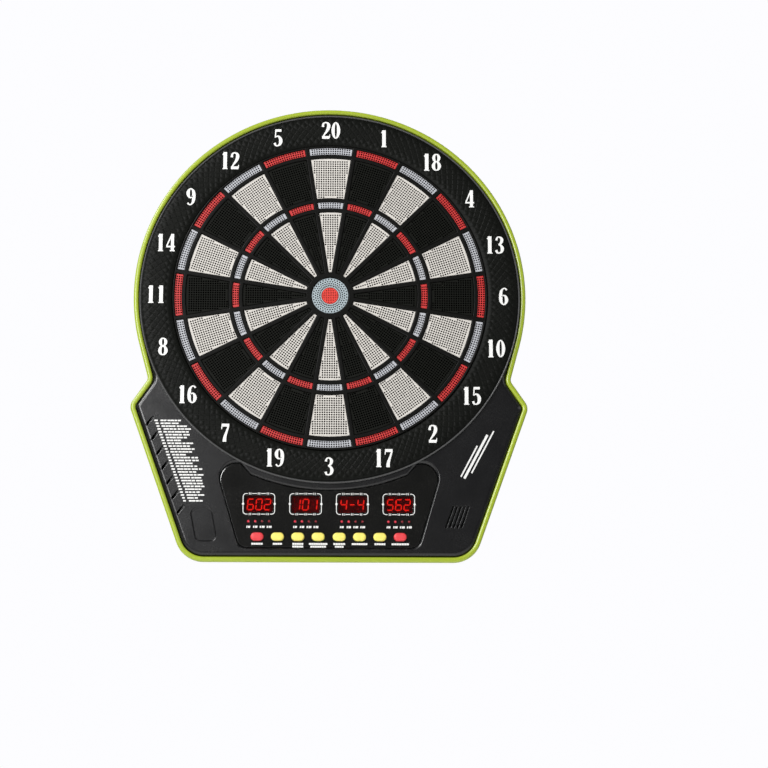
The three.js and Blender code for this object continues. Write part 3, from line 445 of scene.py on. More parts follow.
COOL_GREY = finish("segment_grey", (0.46, 0.47, 0.5), 0.5, dust=0.06, rub=0.12)
COAL_BLACK = finish("segment_black", (0.0045, 0.005, 0.0035), 0.55, dust=0.02, rub=0.06,
                    Specular_IOR_Level=0.1)
SIGNAL_RED = finish("segment_red", (0.55, 0.023, 0.022), 0.48, dust=0.06, rub=0.12)
BULL_BLUE = finish("bull_ring_blue", (0.37, 0.44, 0.47), 0.5, dust=0.08, rub=0.12)
BULL_RED = finish("bullseye_red", (0.74, 0.042, 0.028), 0.45, drift=0.08, rub=0.1)
INK_WHITE = finish("white_ink", (0.84, 0.84, 0.82), 0.5, drift=0.05, dust=0.04, rub=0.0, size=0.3,
                   depth=0.006)
NUMBER_WHITE = finish("number_white", (0.86, 0.86, 0.84), 0.35, drift=0.04, dust=0.04, rub=0.0,
                      depth=0.008)
KEY_YELLOW = finish("key_rubber_yellow", (0.9, 0.78, 0.16), 0.45, drift=0.08, rub=0.0, size=0.3,
                    depth=0.01, Subsurface_Weight=0.15, Subsurface_Scale=0.002)
KEY_RED = finish("key_rubber_red", (0.75, 0.05, 0.06), 0.45, drift=0.08, rub=0.0, size=0.3, depth=0.01,
                 Subsurface_Weight=0.15, Subsurface_Scale=0.002)
LENS = finish("smoked_red_lens", (0.55, 0.1, 0.1), 0.06, drift=0.02, dust=0.02, rub=0.0, smudge=0.05,
              size=3.0, depth=0.001, Transmission_Weight=1.0, IOR=1.45)
DISPLAY_DARK = finish("display_face", (0.24, 0.014, 0.016), 0.35, drift=0.05, dust=0.02, rub=0.0,
                      depth=0.004)
LIGHT_ON = finish("lit_bar", (0.9, 0.05, 0.03), 0.4, drift=0.05, dust=0.0, rub=0.0,
                  Emission_Color=(1.0, 0.085, 0.035, 1), Emission_Strength=1.25)
LIGHT_OFF = finish("unlit_bar", (0.26, 0.02, 0.02), 0.4, drift=0.05, dust=0.0, rub=0.0)
SCREW_STEEL = finish("zinc_steel", (0.5, 0.5, 0.5), 0.32, drift=0.12, dust=0.1, rub=0.3, size=0.4,
                     Metallic=0.95)
BOARD_GREEN = finish("solder_mask", (0.02, 0.14, 0.05), 0.35, size=1.5)
HARDBOARD = finish("hardboard", (0.25, 0.13, 0.06), 0.85, drift=0.25, size=1.2, depth=0.1)
FILM = finish("sensor_film", (0.6, 0.54, 0.36), 0.3, drift=0.08, size=4.0, depth=0.01)
FOAM = finish("return_foam", (0.05, 0.05, 0.052), 0.95, drift=0.2, size=0.8, depth=0.15)
RUBBER_GREY = finish("key_mat_rubber", (0.55, 0.55, 0.54), 0.7, drift=0.08, size=0.6, depth=0.03)
CABLE_GREY = finish("cable_sheath", (0.3, 0.31, 0.32), 0.5, drift=0.08, size=1.5)
LAMP_ON = finish("lamp_lit", (0.6, 0.04, 0.06), 0.3, drift=0.05, dust=0.0, rub=0.0,
                 Emission_Color=(1.0, 0.03, 0.08, 1), Emission_Strength=0.25)
LAMP_OFF = finish("lamp_dark", (0.3, 0.02, 0.03), 0.3, drift=0.05, dust=0.0, rub=0.0)
CONE_BLACK = finish("speaker_cone", (0.02, 0.02, 0.02), 0.8, drift=0.15, dust=0.2, size=0.7, depth=0.06)
print(len(bpy.data.materials), "materials")

# %% [markdown]
# ## The perforated segments
# A soft-tip dart sticks because each segment is a block full of small blind holes. Cutting
# thousands of holes with booleans would be slow. Instead each block starts as a shell that is open at
# the front, and one Geometry Nodes tree closes it: it draws a circle on every point of a grid that
# lies well inside the block, fills the face around the circles, and hangs a small cup in each one.
# Rows run straight across the large segments, and round with the ring on the narrow ones.

# %% Tree that closes a shell with a perforated face
FLOAT, WHOLE, SWITCH = "NodeSocketFloat", "NodeSocketInt", "NodeSocketBool"
perforated = new_tree(
    "perforated face", "GeometryNodeTree",
    {"Geometry": ("NodeSocketGeometry", None), "Inner radius": (FLOAT, 0.0),
     "Outer radius": (FLOAT, 10.0), "Half wedge": (FLOAT, 9.0), "Side inset": (FLOAT, 0.0),
     "Margin": (FLOAT, 0.5), "Hole radius": (FLOAT, 0.65), "Hole depth": (FLOAT, 3.0),
     "Front": (FLOAT, 0.0), "Columns": (WHOLE, 20), "Rows": (WHOLE, 10), "Column pitch": (FLOAT, 2.2),
     "Row pitch": (FLOAT, 2.2), "Middle": (FLOAT, 10.0), "Follow ring": (SWITCH, False),
     "Stagger": (FLOAT, 0.0), "Finish": ("NodeSocketMaterial", None)},
    {"Geometry": "NodeSocketGeometry"})
node, first, calc = tools(perforated)
size = node("NodeGroupInput").outputs

across = calc("MULTIPLY", calc("SUBTRACT", size["Columns"], 1), size["Column pitch"])
along = calc("MULTIPLY", calc("SUBTRACT", size["Rows"], 1), size["Row pitch"])
grid = node("GeometryNodeMeshGrid",
           {"Size X": across, "Size Y": along, "Vertices X": size["Columns"], "Vertices Y": size["Rows"]})
here = node("ShaderNodeSeparateXYZ",
           {0: first("GeometryNodeInputPosition")}).outputs
row = calc("ROUND", calc("DIVIDE", here["Y"], size["Row pitch"]))
shift = calc("MULTIPLY", calc("MULTIPLY", calc("MODULO", calc("ABSOLUTE", row), 2.0), size["Stagger"]),
             size["Column pitch"])
u = calc("ADD", here["X"], shift)
v = calc("ADD", here["Y"], size["Middle"])
turn = calc("DIVIDE", u, size["Middle"])
straight = first("ShaderNodeCombineXYZ", {"X": u, "Y": v})
bent = node("ShaderNodeCombineXYZ",
           {"X": calc("MULTIPLY", v, calc("SINE", turn)), "Y": calc("MULTIPLY", v, calc("COSINE", turn))})
spot = first("GeometryNodeSwitch", {"Switch": size["Follow ring"], "False": straight,
                                              "True": bent.outputs[0]}, input_type="VECTOR")
placed = node("GeometryNodeSetPosition", {"Geometry": grid.outputs[0], "Position": spot})
centre = node("ShaderNodeSeparateXYZ",
             {0: first("GeometryNodeInputPosition")}).outputs
clear = calc("ADD", size["Margin"], size["Hole radius"])
radius = calc("SQRT", calc("ADD", calc("POWER", centre["X"], 2.0), calc("POWER", centre["Y"], 2.0)))
inside = calc("MULTIPLY", calc("GREATER_THAN", radius, calc("ADD", size["Inner radius"], clear)),
              calc("LESS_THAN", radius, calc("SUBTRACT", size["Outer radius"], clear)))
half = calc("RADIANS", size["Half wedge"])
side = calc("SUBTRACT", calc("MULTIPLY", centre["Y"], calc("SINE", half)),
            calc("MULTIPLY", calc("ABSOLUTE", centre["X"]), calc("COSINE", half)))
sided = calc("GREATER_THAN", side, calc("ADD", size["Side inset"], clear))
whole_ring = calc("GREATER_THAN", size["Half wedge"], 179.0)
kept = calc("MULTIPLY", inside, calc("MAXIMUM", sided, whole_ring))
rim = node("GeometryNodeMeshToCurve", {
    "Mesh": size["Geometry"],
    "Selection": first("FunctionNodeCompare", {
        2: first("GeometryNodeInputMeshEdgeNeighbors"), 3: 1},
        data_type="INT", operation="EQUAL")})
hoop = node("GeometryNodeCurvePrimitiveCircle", {"Resolution": 8, "Radius": size["Hole radius"]})
hoops = node("GeometryNodeInstanceOnPoints",
            {"Points": placed.outputs[0], "Selection": kept, "Instance": hoop.outputs[0]})
drawn = node("GeometryNodeJoinGeometry")
for part in (rim, node("GeometryNodeRealizeInstances", {0: hoops.outputs[0]})):
    perforated.links.new(part.outputs[0], drawn.inputs[0])
plate = node("GeometryNodeFillCurve", {0: drawn.outputs[0]})
disc = node("GeometryNodeFillCurve", {0: hoop.outputs[0]}, mode="NGONS")
down = node("ShaderNodeCombineXYZ", {"Z": calc("MULTIPLY", size["Hole depth"], -1.0)})
cup = node("GeometryNodeExtrudeMesh",
          {"Mesh": disc.outputs[0], "Offset": down.outputs[0], "Individual": False})
# Each cup's faces are marked in_a_hole, and tone darkens them nearly to black: painted shade inside the
# holes.
painted_shade_cup = node("GeometryNodeStoreNamedAttribute",
            {"Geometry": cup.outputs[0], "Name": "in_a_hole", "Value": 1.0}, data_type="FLOAT", domain="FACE")
cups = node("GeometryNodeInstanceOnPoints",
           {"Points": placed.outputs[0], "Selection": kept, "Instance": painted_shade_cup.outputs[0]})
front = node("GeometryNodeJoinGeometry")
for part in (plate, node("GeometryNodeRealizeInstances", {0: cups.outputs[0]})):
    perforated.links.new(part.outputs[0], front.inputs[0])
forward = node("ShaderNodeCombineXYZ", {"Z": size["Front"]})
moved = node("GeometryNodeTransform", {"Geometry": front.outputs[0],
                                                  "Translation": forward.outputs[0]})
both = node("GeometryNodeJoinGeometry")
for part in (moved.outputs[0], size["Geometry"]):
    perforated.links.new(part, both.inputs[0])
welded = node("GeometryNodeMergeByDistance", {"Geometry": both.outputs[0], "Distance": 0.002})
painted = node("GeometryNodeSetMaterial", {"Geometry": welded.outputs[0],
                                                      "Material": size["Finish"]})
node("NodeGroupOutput", {"Geometry": painted.outputs[0]})
print("perforated face:", len(perforated.nodes), "nodes")

# %% [markdown]
# ## Eighty segments, a bull ring and a bullseye
# Every wedge is the same, so each ring's segment is made once, pointing up, and then turned into
# its twenty places. A segment stands on a wider foot that hides behind the web of rails. White
# numbers have cool grey doubles and triples, and black numbers have red ones. Each segment rides on
# the body of its number, which is what the CAD model lets travel when a dart hits it.

# %% Segments
NUMBERS = [20, 1, 18, 4, 13, 6, 10, 15, 2, 17, 3, 19, 7, 16, 8, 11, 14, 9, 12, 5]
HALF_WEDGE = 180 / len(NUMBERS)
WEDGE_TURN = -2 * math.radians(HALF_WEDGE)
HOLE_DEPTH = 7.0
SIDE_INSET = 2.65
PITCH = 2.6
RINGS = {"inner_single": (27.0, 96.3), "triple": (101.2, 108.0),
         "outer_single": (112.9, 159.2), "double": (164.1, 171.7)}
FOOT = 1.4
HOLES = {"inner_single": (1.0, PITCH), "triple": (0.88, 2.2), "outer_single": (1.0, PITCH),
         "double": (0.95, 2.5)}


def sector(start, end, inset):
    """One ring's segment, pointing up, with its straight sides moved in by inset."""
    def reach(radius):
        return HALF_WEDGE - math.degrees(math.asin(inset / radius))

    return (arc(0, 0, end, 90 - reach(end), 90 + reach(end), 14)
            + arc(0, 0, start, 90 + reach(start), 90 - reach(start), 10))


def segment_shell(start, end):
    """A segment's foot and walls, open at the front."""
    def loop(grow, z):
        return lifted(sector(start - grow, end + grow, SIDE_INSET - grow), z)

    bm = bmesh.new()
    back, _ = skin(bm, [loop(FOOT, FLANGE), loop(FOOT, FLANGE + 1.5), loop(0, FLANGE + 1.5),
                        loop(0, SEGMENT_TOP - 0.3), loop(-0.08, SEGMENT_TOP - 0.08),
                        loop(-0.25, SEGMENT_TOP)])
    cap(bm, back)
    return finish_mesh(bm)


segment_meshes = {}
for ring, (start, end) in RINGS.items():
    narrow_ring = end - start < 20
    middle = (start + end) / 2
    rows = 3 if narrow_ring else int((end - start) / PITCH) + 1
    hole_radius, row_pitch = HOLES[ring]
    segment_meshes[ring] = run_tree(
        perforated, segment_shell(start, end), inner_radius=start, outer_radius=end,
        half_wedge=HALF_WEDGE, side_inset=SIDE_INSET, margin=0.3,
        hole_radius=hole_radius, hole_depth=HOLE_DEPTH, front=SEGMENT_TOP, columns=31, rows=rows,
        column_pitch=PITCH, row_pitch=row_pitch, middle=middle,
        follow_ring=narrow_ring, finish=BONE_WHITE)
    print(ring, len(segment_meshes[ring].polygons), "faces")

for i, number in enumerate(NUMBERS):
    pale = i % 2 == 0
    for ring, drawn_mesh in segment_meshes.items():
        mesh = drawn_mesh.copy()
        mesh.transform(Matrix.Rotation(WEDGE_TURN * i, 4, "Z"))
        if ring.endswith("single"):
            colour, slot = (BONE_WHITE, "segment_white") if pale else (COAL_BLACK, "segment_black")
        else:
            colour, slot = (COOL_GREY, "bull_grey") if pale else (SIGNAL_RED, "segment_red")
        piece(f"{ring}_{number}", mesh, colour, body=f"number_{number}",
              stands_for=[f"segment_bed_{number}"], slot=slot)


def round_shell(profile, steps=96):
    """Walls of a ring or a disc, open at the front: a chain of (radius, depth)."""
    bm = bmesh.new()
    loops = [lifted(circle(0, 0, radius, steps), z) for radius, z in profile]
    skin(bm, loops)
    return finish_mesh(bm)


BORE, BULL_R, BULL_MIDDLE, BULL_HOLES = 9.6, 20.3, 14.95, 36
bull_ring = round_shell([(BORE + 0.4, SEGMENT_TOP), (BORE, SEGMENT_TOP - 0.4), (BORE, FLANGE + 3.2),
                         (BORE + 4, FLANGE + 3.2), (BORE + 4, FLANGE), (23.5, FLANGE),
                         (23.5, FLANGE + 1.5), (BULL_R, FLANGE + 1.5), (BULL_R, SEGMENT_TOP - 0.5),
                         (19.85, SEGMENT_TOP)])
bull_ring = run_tree(perforated, bull_ring, inner_radius=BORE, outer_radius=BULL_R, half_wedge=180.0,
                     side_inset=0.0, margin=0.45, hole_radius=0.85, hole_depth=HOLE_DEPTH, front=SEGMENT_TOP,
                     columns=BULL_HOLES, rows=4, column_pitch=math.tau * BULL_MIDDLE / BULL_HOLES,
                     row_pitch=2.35, middle=BULL_MIDDLE, follow_ring=True, stagger=0.5, finish=BULL_BLUE)
piece("bull_ring_face", bull_ring, BULL_BLUE, body="outer_bull", stands_for=["bull_ring"],
      slot="bull_grey")
bullseye = round_shell([(0.01, FLANGE), (12.2, FLANGE), (12.2, FLANGE + 1.5), (9.2, FLANGE + 1.5),
                        (9.2, SEGMENT_TOP - 0.5), (8.75, SEGMENT_TOP)])
bullseye = run_tree(perforated, bullseye, inner_radius=-2.0, outer_radius=9.2, half_wedge=180.0,
                    side_inset=0.0, margin=0.5, hole_radius=0.6, hole_depth=6.0, front=SEGMENT_TOP,
                    columns=9, rows=9, column_pitch=1.95, row_pitch=1.95, middle=0.0,
                    follow_ring=False, finish=BULL_RED)
piece("bullseye_face", bullseye, BULL_RED, body="inner_bull", stands_for=["bullseye"],
      slot="segment_red")
print("bull ring", len(bull_ring.polygons), "bullseye", len(bullseye.polygons))

# %% [markdown]
# ## The web
# The web is one black moulding: a rim, and a window for every segment. It is drawn the way a mould
# maker would draw it, as a plate with eighty-one holes. Each window is asked for in four sizes, so
# that the rails between windows come out with rounded backs, which catch a thin line of light.


# %% Plates with windows
def plate(rim, windows):
    """A closed plate. rim holds (outline, depth) from its front edge round to its back edge, and
    each window its own (outline, depth) list from the front down, and whether it stays blind."""
    bm = bmesh.new()
    first, last = skin(bm, [lifted(outline, z) for outline, z in rim])
    fronts, backs = [], []
    for levels, blind in windows:
        top, floor = skin(bm, [lifted(outline, z) for outline, z in levels])
        fronts.append(top)
        if blind:
            cap(bm, floor)
        else:
            backs.append(floor)
    cap(bm, first, *fronts)
    cap(bm, last, *backs)
    return finish_mesh(bm)


RAIL_INSET = SIDE_INSET - 0.4
RAIL_ROUND = [(0.85, 0.0), (0.4, 0.14), (0.12, 0.42), (0.0, 0.9)]
WEB_BACK = FLANGE + 1.8
windows = []
for start, end in RINGS.values():
    for i in range(len(NUMBERS)):
        turn = Matrix.Rotation(WEDGE_TURN * i, 2)
        levels = []
        for grow, drop in RAIL_ROUND + [(0.0, SPIDER_TOP - WEB_BACK)]:
            outline = sector(start - 0.4 - grow, end + 0.4 + grow, RAIL_INSET - grow)
            levels.append(([tuple(turn @ Vector(p)) for p in outline], SPIDER_TOP - drop))
        windows.append((levels, False))
windows.append(([(circle(0, 0, 20.7 + grow, 96), SPIDER_TOP - drop)
                 for grow, drop in RAIL_ROUND + [(0.0, SPIDER_TOP - WEB_BACK)]], False))
RIM = 174.2
web = plate([(circle(0, 0, RIM - 0.6, 240), SPIDER_TOP), (circle(0, 0, RIM - 0.15, 240), SPIDER_TOP - 0.2),
             (circle(0, 0, RIM, 240), SPIDER_TOP - 0.7), (circle(0, 0, RIM, 240), WEB_BACK)], windows)
piece("web", web, WEB_BLACK, stands_for=["segment_spider"], slot="ring_plastic")
print("web:", len(web.polygons), "faces")

# %% [markdown]
# ## The catch ring
# The ring round the field carries the numbers and catches darts that miss. It is a turned shape, so
# one profile makes it, and a second one makes the polished bead that it ends in. The bead is a lighter
# grey than the ring: a painted highlight along the ring's edge. The ring's face has a low lattice of
# diamonds, which is moulded in to hide scuffs. A Geometry Nodes tree lays one small diamond on a
# staggered round grid and drops each one on to the ring with a raycast, so that the lattice follows
# the crown of the ring.

# %% Catch ring
RING_BACK = back_of("catch_ring")
RING_EDGE = 210.8
ring = turned([(174.6, RING_BACK), (174.6, 31.4), (174.9, 32.3), (175.9, 32.9), (180.5, 33.4),
               (186, 33.62), (192, 33.7), (198, 33.66), (202.4, 33.45), (205.2, 33.0), (206.9, 32.4),
               (207.8, 31.8), (208.2, 31.35), (208.6, 31.25), (208.9, 31.2), (208.9, FACE + 0.25),
               (180.2, FACE + 0.25), (180.2, RING_BACK)])

relief = new_tree(
    "diamond relief", "GeometryNodeTree",
    {"Geometry": ("NodeSocketGeometry", None), "Inner radius": (FLOAT, 179.5),
     "Row pitch": (FLOAT, 4.2), "Rows": (WHOLE, 7), "Around": (WHOLE, 144), "Width": (FLOAT, 7.4),
     "Length": (FLOAT, 7.6), "Height": (FLOAT, 0.36), "Finish": ("NodeSocketMaterial", None)},
    {"Geometry": "NodeSocketGeometry"})
node, first, calc = tools(relief)
size = node("NodeGroupInput").outputs
spots = first("GeometryNodeMeshGrid", {
    "Size X": 1.0, "Size Y": 1.0, "Vertices X": size["Around"], "Vertices Y": size["Rows"]})
index = first("GeometryNodeInputIndex")
column = calc("FLOOR", calc("DIVIDE", calc("ADD", index, 0.5), size["Rows"]))
row = calc("SUBTRACT", index, calc("MULTIPLY", column, size["Rows"]))
half_step = calc("MULTIPLY", calc("MODULO", row, 2.0), 0.5)
turn = calc("MULTIPLY", calc("DIVIDE", calc("ADD", column, half_step),
                                     size["Around"]), math.tau)
out = calc("MULTIPLY_ADD", row, size["Row pitch"], size["Inner radius"])
above = first("ShaderNodeCombineXYZ", {"X": calc("MULTIPLY", out, calc("COSINE", turn)),
                                             "Y": calc("MULTIPLY", out, calc("SINE", turn)),
                                             "Z": 60.0})
spots = first("GeometryNodeStoreNamedAttribute", {"Geometry": spots, "Name": "heading", "Value": turn},
            data_type="FLOAT")
spots = first("GeometryNodeSetPosition", {"Geometry": spots, "Position": above})
drop = node("GeometryNodeRaycast", {"Target Geometry": size["Geometry"],
                                           "Ray Direction": (0.0, 0.0, -1.0), "Ray Length": 60.0})
spots = first("GeometryNodeStoreNamedAttribute", {
    "Geometry": spots, "Name": "lean", "Value": drop.outputs["Hit Normal"]},
    data_type="FLOAT_VECTOR")
spots = first("GeometryNodeSetPosition", {"Geometry": spots,
                                                "Position": drop.outputs["Hit Position"]})
heading = first("GeometryNodeInputNamedAttribute", {"Name": "heading"}, data_type="FLOAT")
lean = first("GeometryNodeInputNamedAttribute", {"Name": "lean"}, data_type="FLOAT_VECTOR")
spin = first("ShaderNodeCombineXYZ", {"Z": heading})
facing = first("FunctionNodeAlignRotationToVector",
             {"Rotation": first("FunctionNodeEulerToRotation", {0: spin}),
              "Vector": lean}, axis="Z")
diamond = first("GeometryNodeMeshCone", {"Vertices": 4, "Radius Top": 0.36, "Radius Bottom": 0.5,
                                               "Depth": 1.0})
diamond = first("GeometryNodeTransform", {
    "Geometry": diamond, "Translation": (0.0, 0.0, -0.1),
    "Scale": first("ShaderNodeCombineXYZ", {"X": size["Length"], "Y": size["Width"],
                                                  "Z": size["Height"]})})
diamonds = first("GeometryNodeInstanceOnPoints", {"Points": spots, "Instance": diamond,
                                                        "Rotation": facing})
whole = first("GeometryNodeRealizeInstances", {0: diamonds})
both = node("GeometryNodeJoinGeometry")
for part in (whole, size["Geometry"]):
    relief.links.new(part, both.inputs[0])
node("NodeGroupOutput", {"Geometry": first("GeometryNodeSetMaterial", {
    "Geometry": both.outputs[0], "Material": size["Finish"]})})

ring = run_tree(relief, ring, finish=RING_BLACK)
piece("number_ring", ring, RING_BLACK, stands_for=["catch_ring"], slot="ring_plastic", crisp=30)
# The bead's lighter grey is a painted highlight along the ring's edge.
bead = turned([(208.92, FACE + 0.25), (208.92, 31.4), (209.3, 31.95), (209.7, 32.2), (210.1, 32.2),
               (210.5, 31.95), (RING_EDGE - 0.1, 31.5), (RING_EDGE, 31.1), (RING_EDGE, FACE + 0.25)])
piece("ring_bead", bead, BEAD_GREY_HIGHLIGHT, stands_for=["catch_ring"], slot="ring_plastic", crisp=50)
print("ring with", 7 * 144, "diamonds:", len(ring.polygons), "faces")

# %% [markdown]
# ## The numbers
# The numbers are a bold, condensed face with thick stems and thin joins. Rather than use a font, each
# one is written as pen strokes: points with a pen width at each, in units of the number's height.
# The pen runs smoothly through its points, and each stroke becomes a thin raised plate.

# %% Numbers round the ring
STEM_0 = [(0.405, 0.5, 0.185), (0.36, 0.82, 0.13), (0.25, 0.965, 0.06), (0.14, 0.82, 0.13),
          (0.095, 0.5, 0.185), (0.14, 0.18, 0.13), (0.25, 0.035, 0.06), (0.36, 0.18, 0.13)]
BOWL_8_LOW = [(0.42, 0.28, 0.19), (0.36, 0.46, 0.13), (0.25, 0.53, 0.07), (0.14, 0.46, 0.13),
              (0.085, 0.28, 0.19), (0.14, 0.1, 0.13), (0.25, 0.035, 0.06), (0.36, 0.1, 0.13)]
BOWL_8_HIGH = [(0.395, 0.76, 0.17), (0.35, 0.91, 0.12), (0.25, 0.97, 0.06), (0.15, 0.91, 0.12),
               (0.105, 0.76, 0.17), (0.15, 0.6, 0.12), (0.25, 0.54, 0.07), (0.35, 0.6, 0.12)]
SIX = [[(0.43, 0.87, 0.1), (0.35, 0.96, 0.07), (0.24, 0.95, 0.07), (0.13, 0.8, 0.14), (0.095, 0.5, 0.19),
        (0.12, 0.2, 0.16), (0.25, 0.035, 0.06), (0.37, 0.13, 0.13), (0.415, 0.3, 0.19), (0.37, 0.49, 0.13),
        (0.26, 0.57, 0.06), (0.15, 0.48, 0.06)]]
DIGITS = {
    "0": [STEM_0 + STEM_0[:1]],
    "1": [[(0.27, 0, 0.2), (0.27, 1, 0.2)], [(0.26, 0.92, 0.15), (0.13, 0.85, 0.07)],
          [(0.13, 0.03, 0.06), (0.41, 0.03, 0.06)]],
    "2": [[(0.08, 0.7, 0.15), (0.11, 0.89, 0.1), (0.25, 0.965, 0.07), (0.38, 0.88, 0.15),
           (0.405, 0.72, 0.19), (0.33, 0.5, 0.15), (0.18, 0.27, 0.09), (0.07, 0.09, 0.07)],
          [(0.04, 0.08, 0.16), (0.45, 0.08, 0.16)], [(0.45, 0.05, 0.05), (0.47, 0.26, 0.04)]],
    "3": [[(0.08, 0.77, 0.13), (0.13, 0.92, 0.09), (0.24, 0.965, 0.07), (0.36, 0.88, 0.14),
           (0.385, 0.75, 0.17), (0.32, 0.6, 0.12), (0.2, 0.53, 0.06)],
          [(0.2, 0.53, 0.06), (0.34, 0.46, 0.12), (0.41, 0.3, 0.18), (0.37, 0.12, 0.14),
           (0.24, 0.035, 0.07), (0.12, 0.07, 0.1), (0.07, 0.2, 0.14)]],
    "4": [[(0.36, 0, 0.17), (0.36, 1, 0.17)], [(0.33, 0.98, 0.08), (0.04, 0.29, 0.07)],
          [(0.02, 0.27, 0.09), (0.5, 0.27, 0.09)], [(0.22, 0.03, 0.06), (0.5, 0.03, 0.06)]],
    "5": [[(0.1, 0.93, 0.14), (0.44, 0.94, 0.14)], [(0.13, 0.95, 0.07), (0.1, 0.52, 0.06)],
          [(0.1, 0.53, 0.06), (0.21, 0.6, 0.08), (0.33, 0.55, 0.13), (0.41, 0.36, 0.19),
           (0.37, 0.14, 0.15), (0.24, 0.035, 0.07), (0.12, 0.07, 0.1), (0.07, 0.2, 0.13)]],
    "6": SIX,
    "7": [[(0.05, 0.92, 0.16), (0.46, 0.92, 0.16)], [(0.07, 0.95, 0.05), (0.05, 0.7, 0.05)],
          [(0.43, 0.89, 0.08), (0.31, 0.52, 0.12), (0.23, 0.25, 0.17), (0.21, 0, 0.2)]],
    "8": [BOWL_8_LOW + BOWL_8_LOW[:1], BOWL_8_HIGH + BOWL_8_HIGH[:1]],
    "9": [[(0.5 - x, 1 - y, width) for x, y, width in SIX[0]]],
}


def smooth_run(points, steps=5):
    """A Catmull-Rom curve through points of any dimension; a closed one repeats its first point."""
    looped = points[0] == points[-1] and len(points) > 2
    before = points[-2] if looped else points[0]
    after = points[1] if looped else points[-1]
    chain = [Vector(p) for p in (before, *points, after)]
    made = []
    for a, b, c, d in zip(chain, chain[1:], chain[2:], chain[3:]):
        for i in range(steps):
            t = i / steps
            made.append((b * 2 + (c - a) * t + (a * 2 - b * 5 + c * 4 - d) * t ** 2
                         + (b * 3 - a - c * 3 + d) * t ** 3) / 2)
    return made if looped else made + [chain[-2]]


def stroke(points, place, height, low, high):
    """One pen stroke as a thin plate. The pen's width is the third number of each point."""
    looped = points[0] == points[-1] and len(points) > 2
    run = smooth_run(points, 1 if len(points) == 2 else 5)
    left, right = [], []
    for i, point in enumerate(run):
        ahead = run[(i + 1) % len(run)] if looped else run[min(i + 1, len(run) - 1)]
        behind = run[i - 1] if looped else run[max(i - 1, 0)]
        along = (ahead.xy - behind.xy).normalized()
        side = Vector((-along.y, along.x)) * point.z / 2
        left.append(place + (point.xy + side) * height)
        right.append(place + (point.xy - side) * height)
    bm = bmesh.new()
    rows = [[bm.verts.new((*p, z)) for p in line]
            for line, z in ((left, low), (right, low), (right, high), (left, high))]
    count = len(run)
    for i in range(count if looped else count - 1):
        j = (i + 1) % count
        for one, two in zip(rows, rows[1:] + rows[:1]):
            bm.faces.new((one[i], one[j], two[j], two[i]))
    if not looped:
        bm.faces.new([line[0] for line in rows])
        bm.faces.new([line[-1] for line in rows][::-1])
    return finish_mesh(bm)


def writing(text, x, y, height, low, high, advance=0.56):
    """Digits written side by side about a middle point."""
    start = Vector((x - (len(text) - 1) * advance * height / 2 - 0.26 * height, y - height / 2))
    return [stroke(points, start + Vector((i * advance * height, 0)), height, low, high - 0.05 * layer)
            for i, letter in enumerate(text) for layer, points in enumerate(DIGITS[letter])]


NUMBER_R = 192.4
NUMBER_HEIGHT, NUMBER_LOW, NUMBER_TOP = 20.0, 33.3, 34.3
strokes = []
for i, number in enumerate(NUMBERS):
    angle = math.radians(90 - 2 * HALF_WEDGE * i)
    strokes += writing(str(number), NUMBER_R * math.cos(angle), NUMBER_R * math.sin(angle),
                       NUMBER_HEIGHT, NUMBER_LOW, NUMBER_TOP)
piece("numbers", joined(*strokes), NUMBER_WHITE, crisp=40)
print(len(strokes), "pen strokes")

# %% [markdown]
# ## The cabinet's outline
# The cabinet is a circle that turns into two straight flanks, a narrow waist, and a pair of wings
# that taper to the foot. It is drawn once, from straight lines that can each be moved inwards, so
# that every wall, lip and bevel runs parallel to it.

# %% Outline of the cabinet
CABINET_R, CABINET_LIFT = 217.4, 1.5
FLANK = -15.3
WAIST_Y, FOOT_Y = -94.5, -296.5
SHOULDER, FOOT_CORNER = (219.2, -124.0), (157.0, FOOT_Y)
flank_out = Vector((math.cos(math.radians(FLANK)), math.sin(math.radians(FLANK))))
flank_start = flank_out * CABINET_R + Vector((0, CABINET_LIFT))
WAIST = ((CABINET_R - (WAIST_Y - CABINET_LIFT) * flank_out.y) / flank_out.x, WAIST_Y)


def moved_line(a, b, inset):
    """A straight edge moved into the cabinet: a point on it and its direction."""
    along = (Vector(b) - Vector(a)).normalized()
    return Vector(a) + Vector((along.y, -along.x)) * inset, along


def crossing(one, two):
    return one[0] + one[1] * ((two[0] - one[0]).cross(two[1]) / one[1].cross(two[1]))


def cabinet(inset):
    """The outline, moved inwards by inset, counter-clockwise from the top."""
    edges = [moved_line(a, b, inset) for a, b in (
        (flank_start, WAIST), (WAIST, SHOULDER), (SHOULDER, FOOT_CORNER), (FOOT_CORNER, (0, FOOT_Y)))]
    corners = [edges[0][0]] + [crossing(a, b) for a, b in zip(edges, edges[1:])]
    corners.append(Vector((0, FOOT_Y + inset)))
    right = arc(0, CABINET_LIFT, CABINET_R - inset, 90, FLANK, 96)
    for i, radius in ((1, 8 + inset), (2, max(13 - inset, 1.5)), (3, max(32 - inset, 4))):
        right += round_corner(corners[i - 1], corners[i], corners[i + 1], radius, 12)
    return [(-x, y) for x, y in right[1:]] + right[::-1]


def side_x(y, inset):
    """How far out the wing's edge is at a height, moved in by inset."""
    point, along = moved_line(SHOULDER, FOOT_CORNER, inset)
    return point.x + along.x * (y - point.y) / along.y


WING_LEAN = math.degrees(math.atan2(SHOULDER[0] - FOOT_CORNER[0], SHOULDER[1] - FOOT_CORNER[1]))
print("outline of", len(cabinet(0)), "points, wings lean", round(WING_LEAN, 1), "degrees")

# %% [markdown]
# ## The front housing
# The housing is a thin moulded shell. Its face carries the ring, a sunk fascia for the controls, a
# row of grip grooves and a thumb recess on the left wing, and the speaker's slots on the right. The
# rounded shoulder round its edge drops into a dark groove beside the lime trim.

# %% Front housing
PANEL_R, PANEL_HALF, PANEL_FLARE, PANEL_FOOT_Y = 218.0, 97.0, 31.0, -281.0
panel_height = -PANEL_FOOT_Y - math.sqrt(PANEL_R ** 2 - (PANEL_HALF + PANEL_FLARE * 0.7) ** 2)


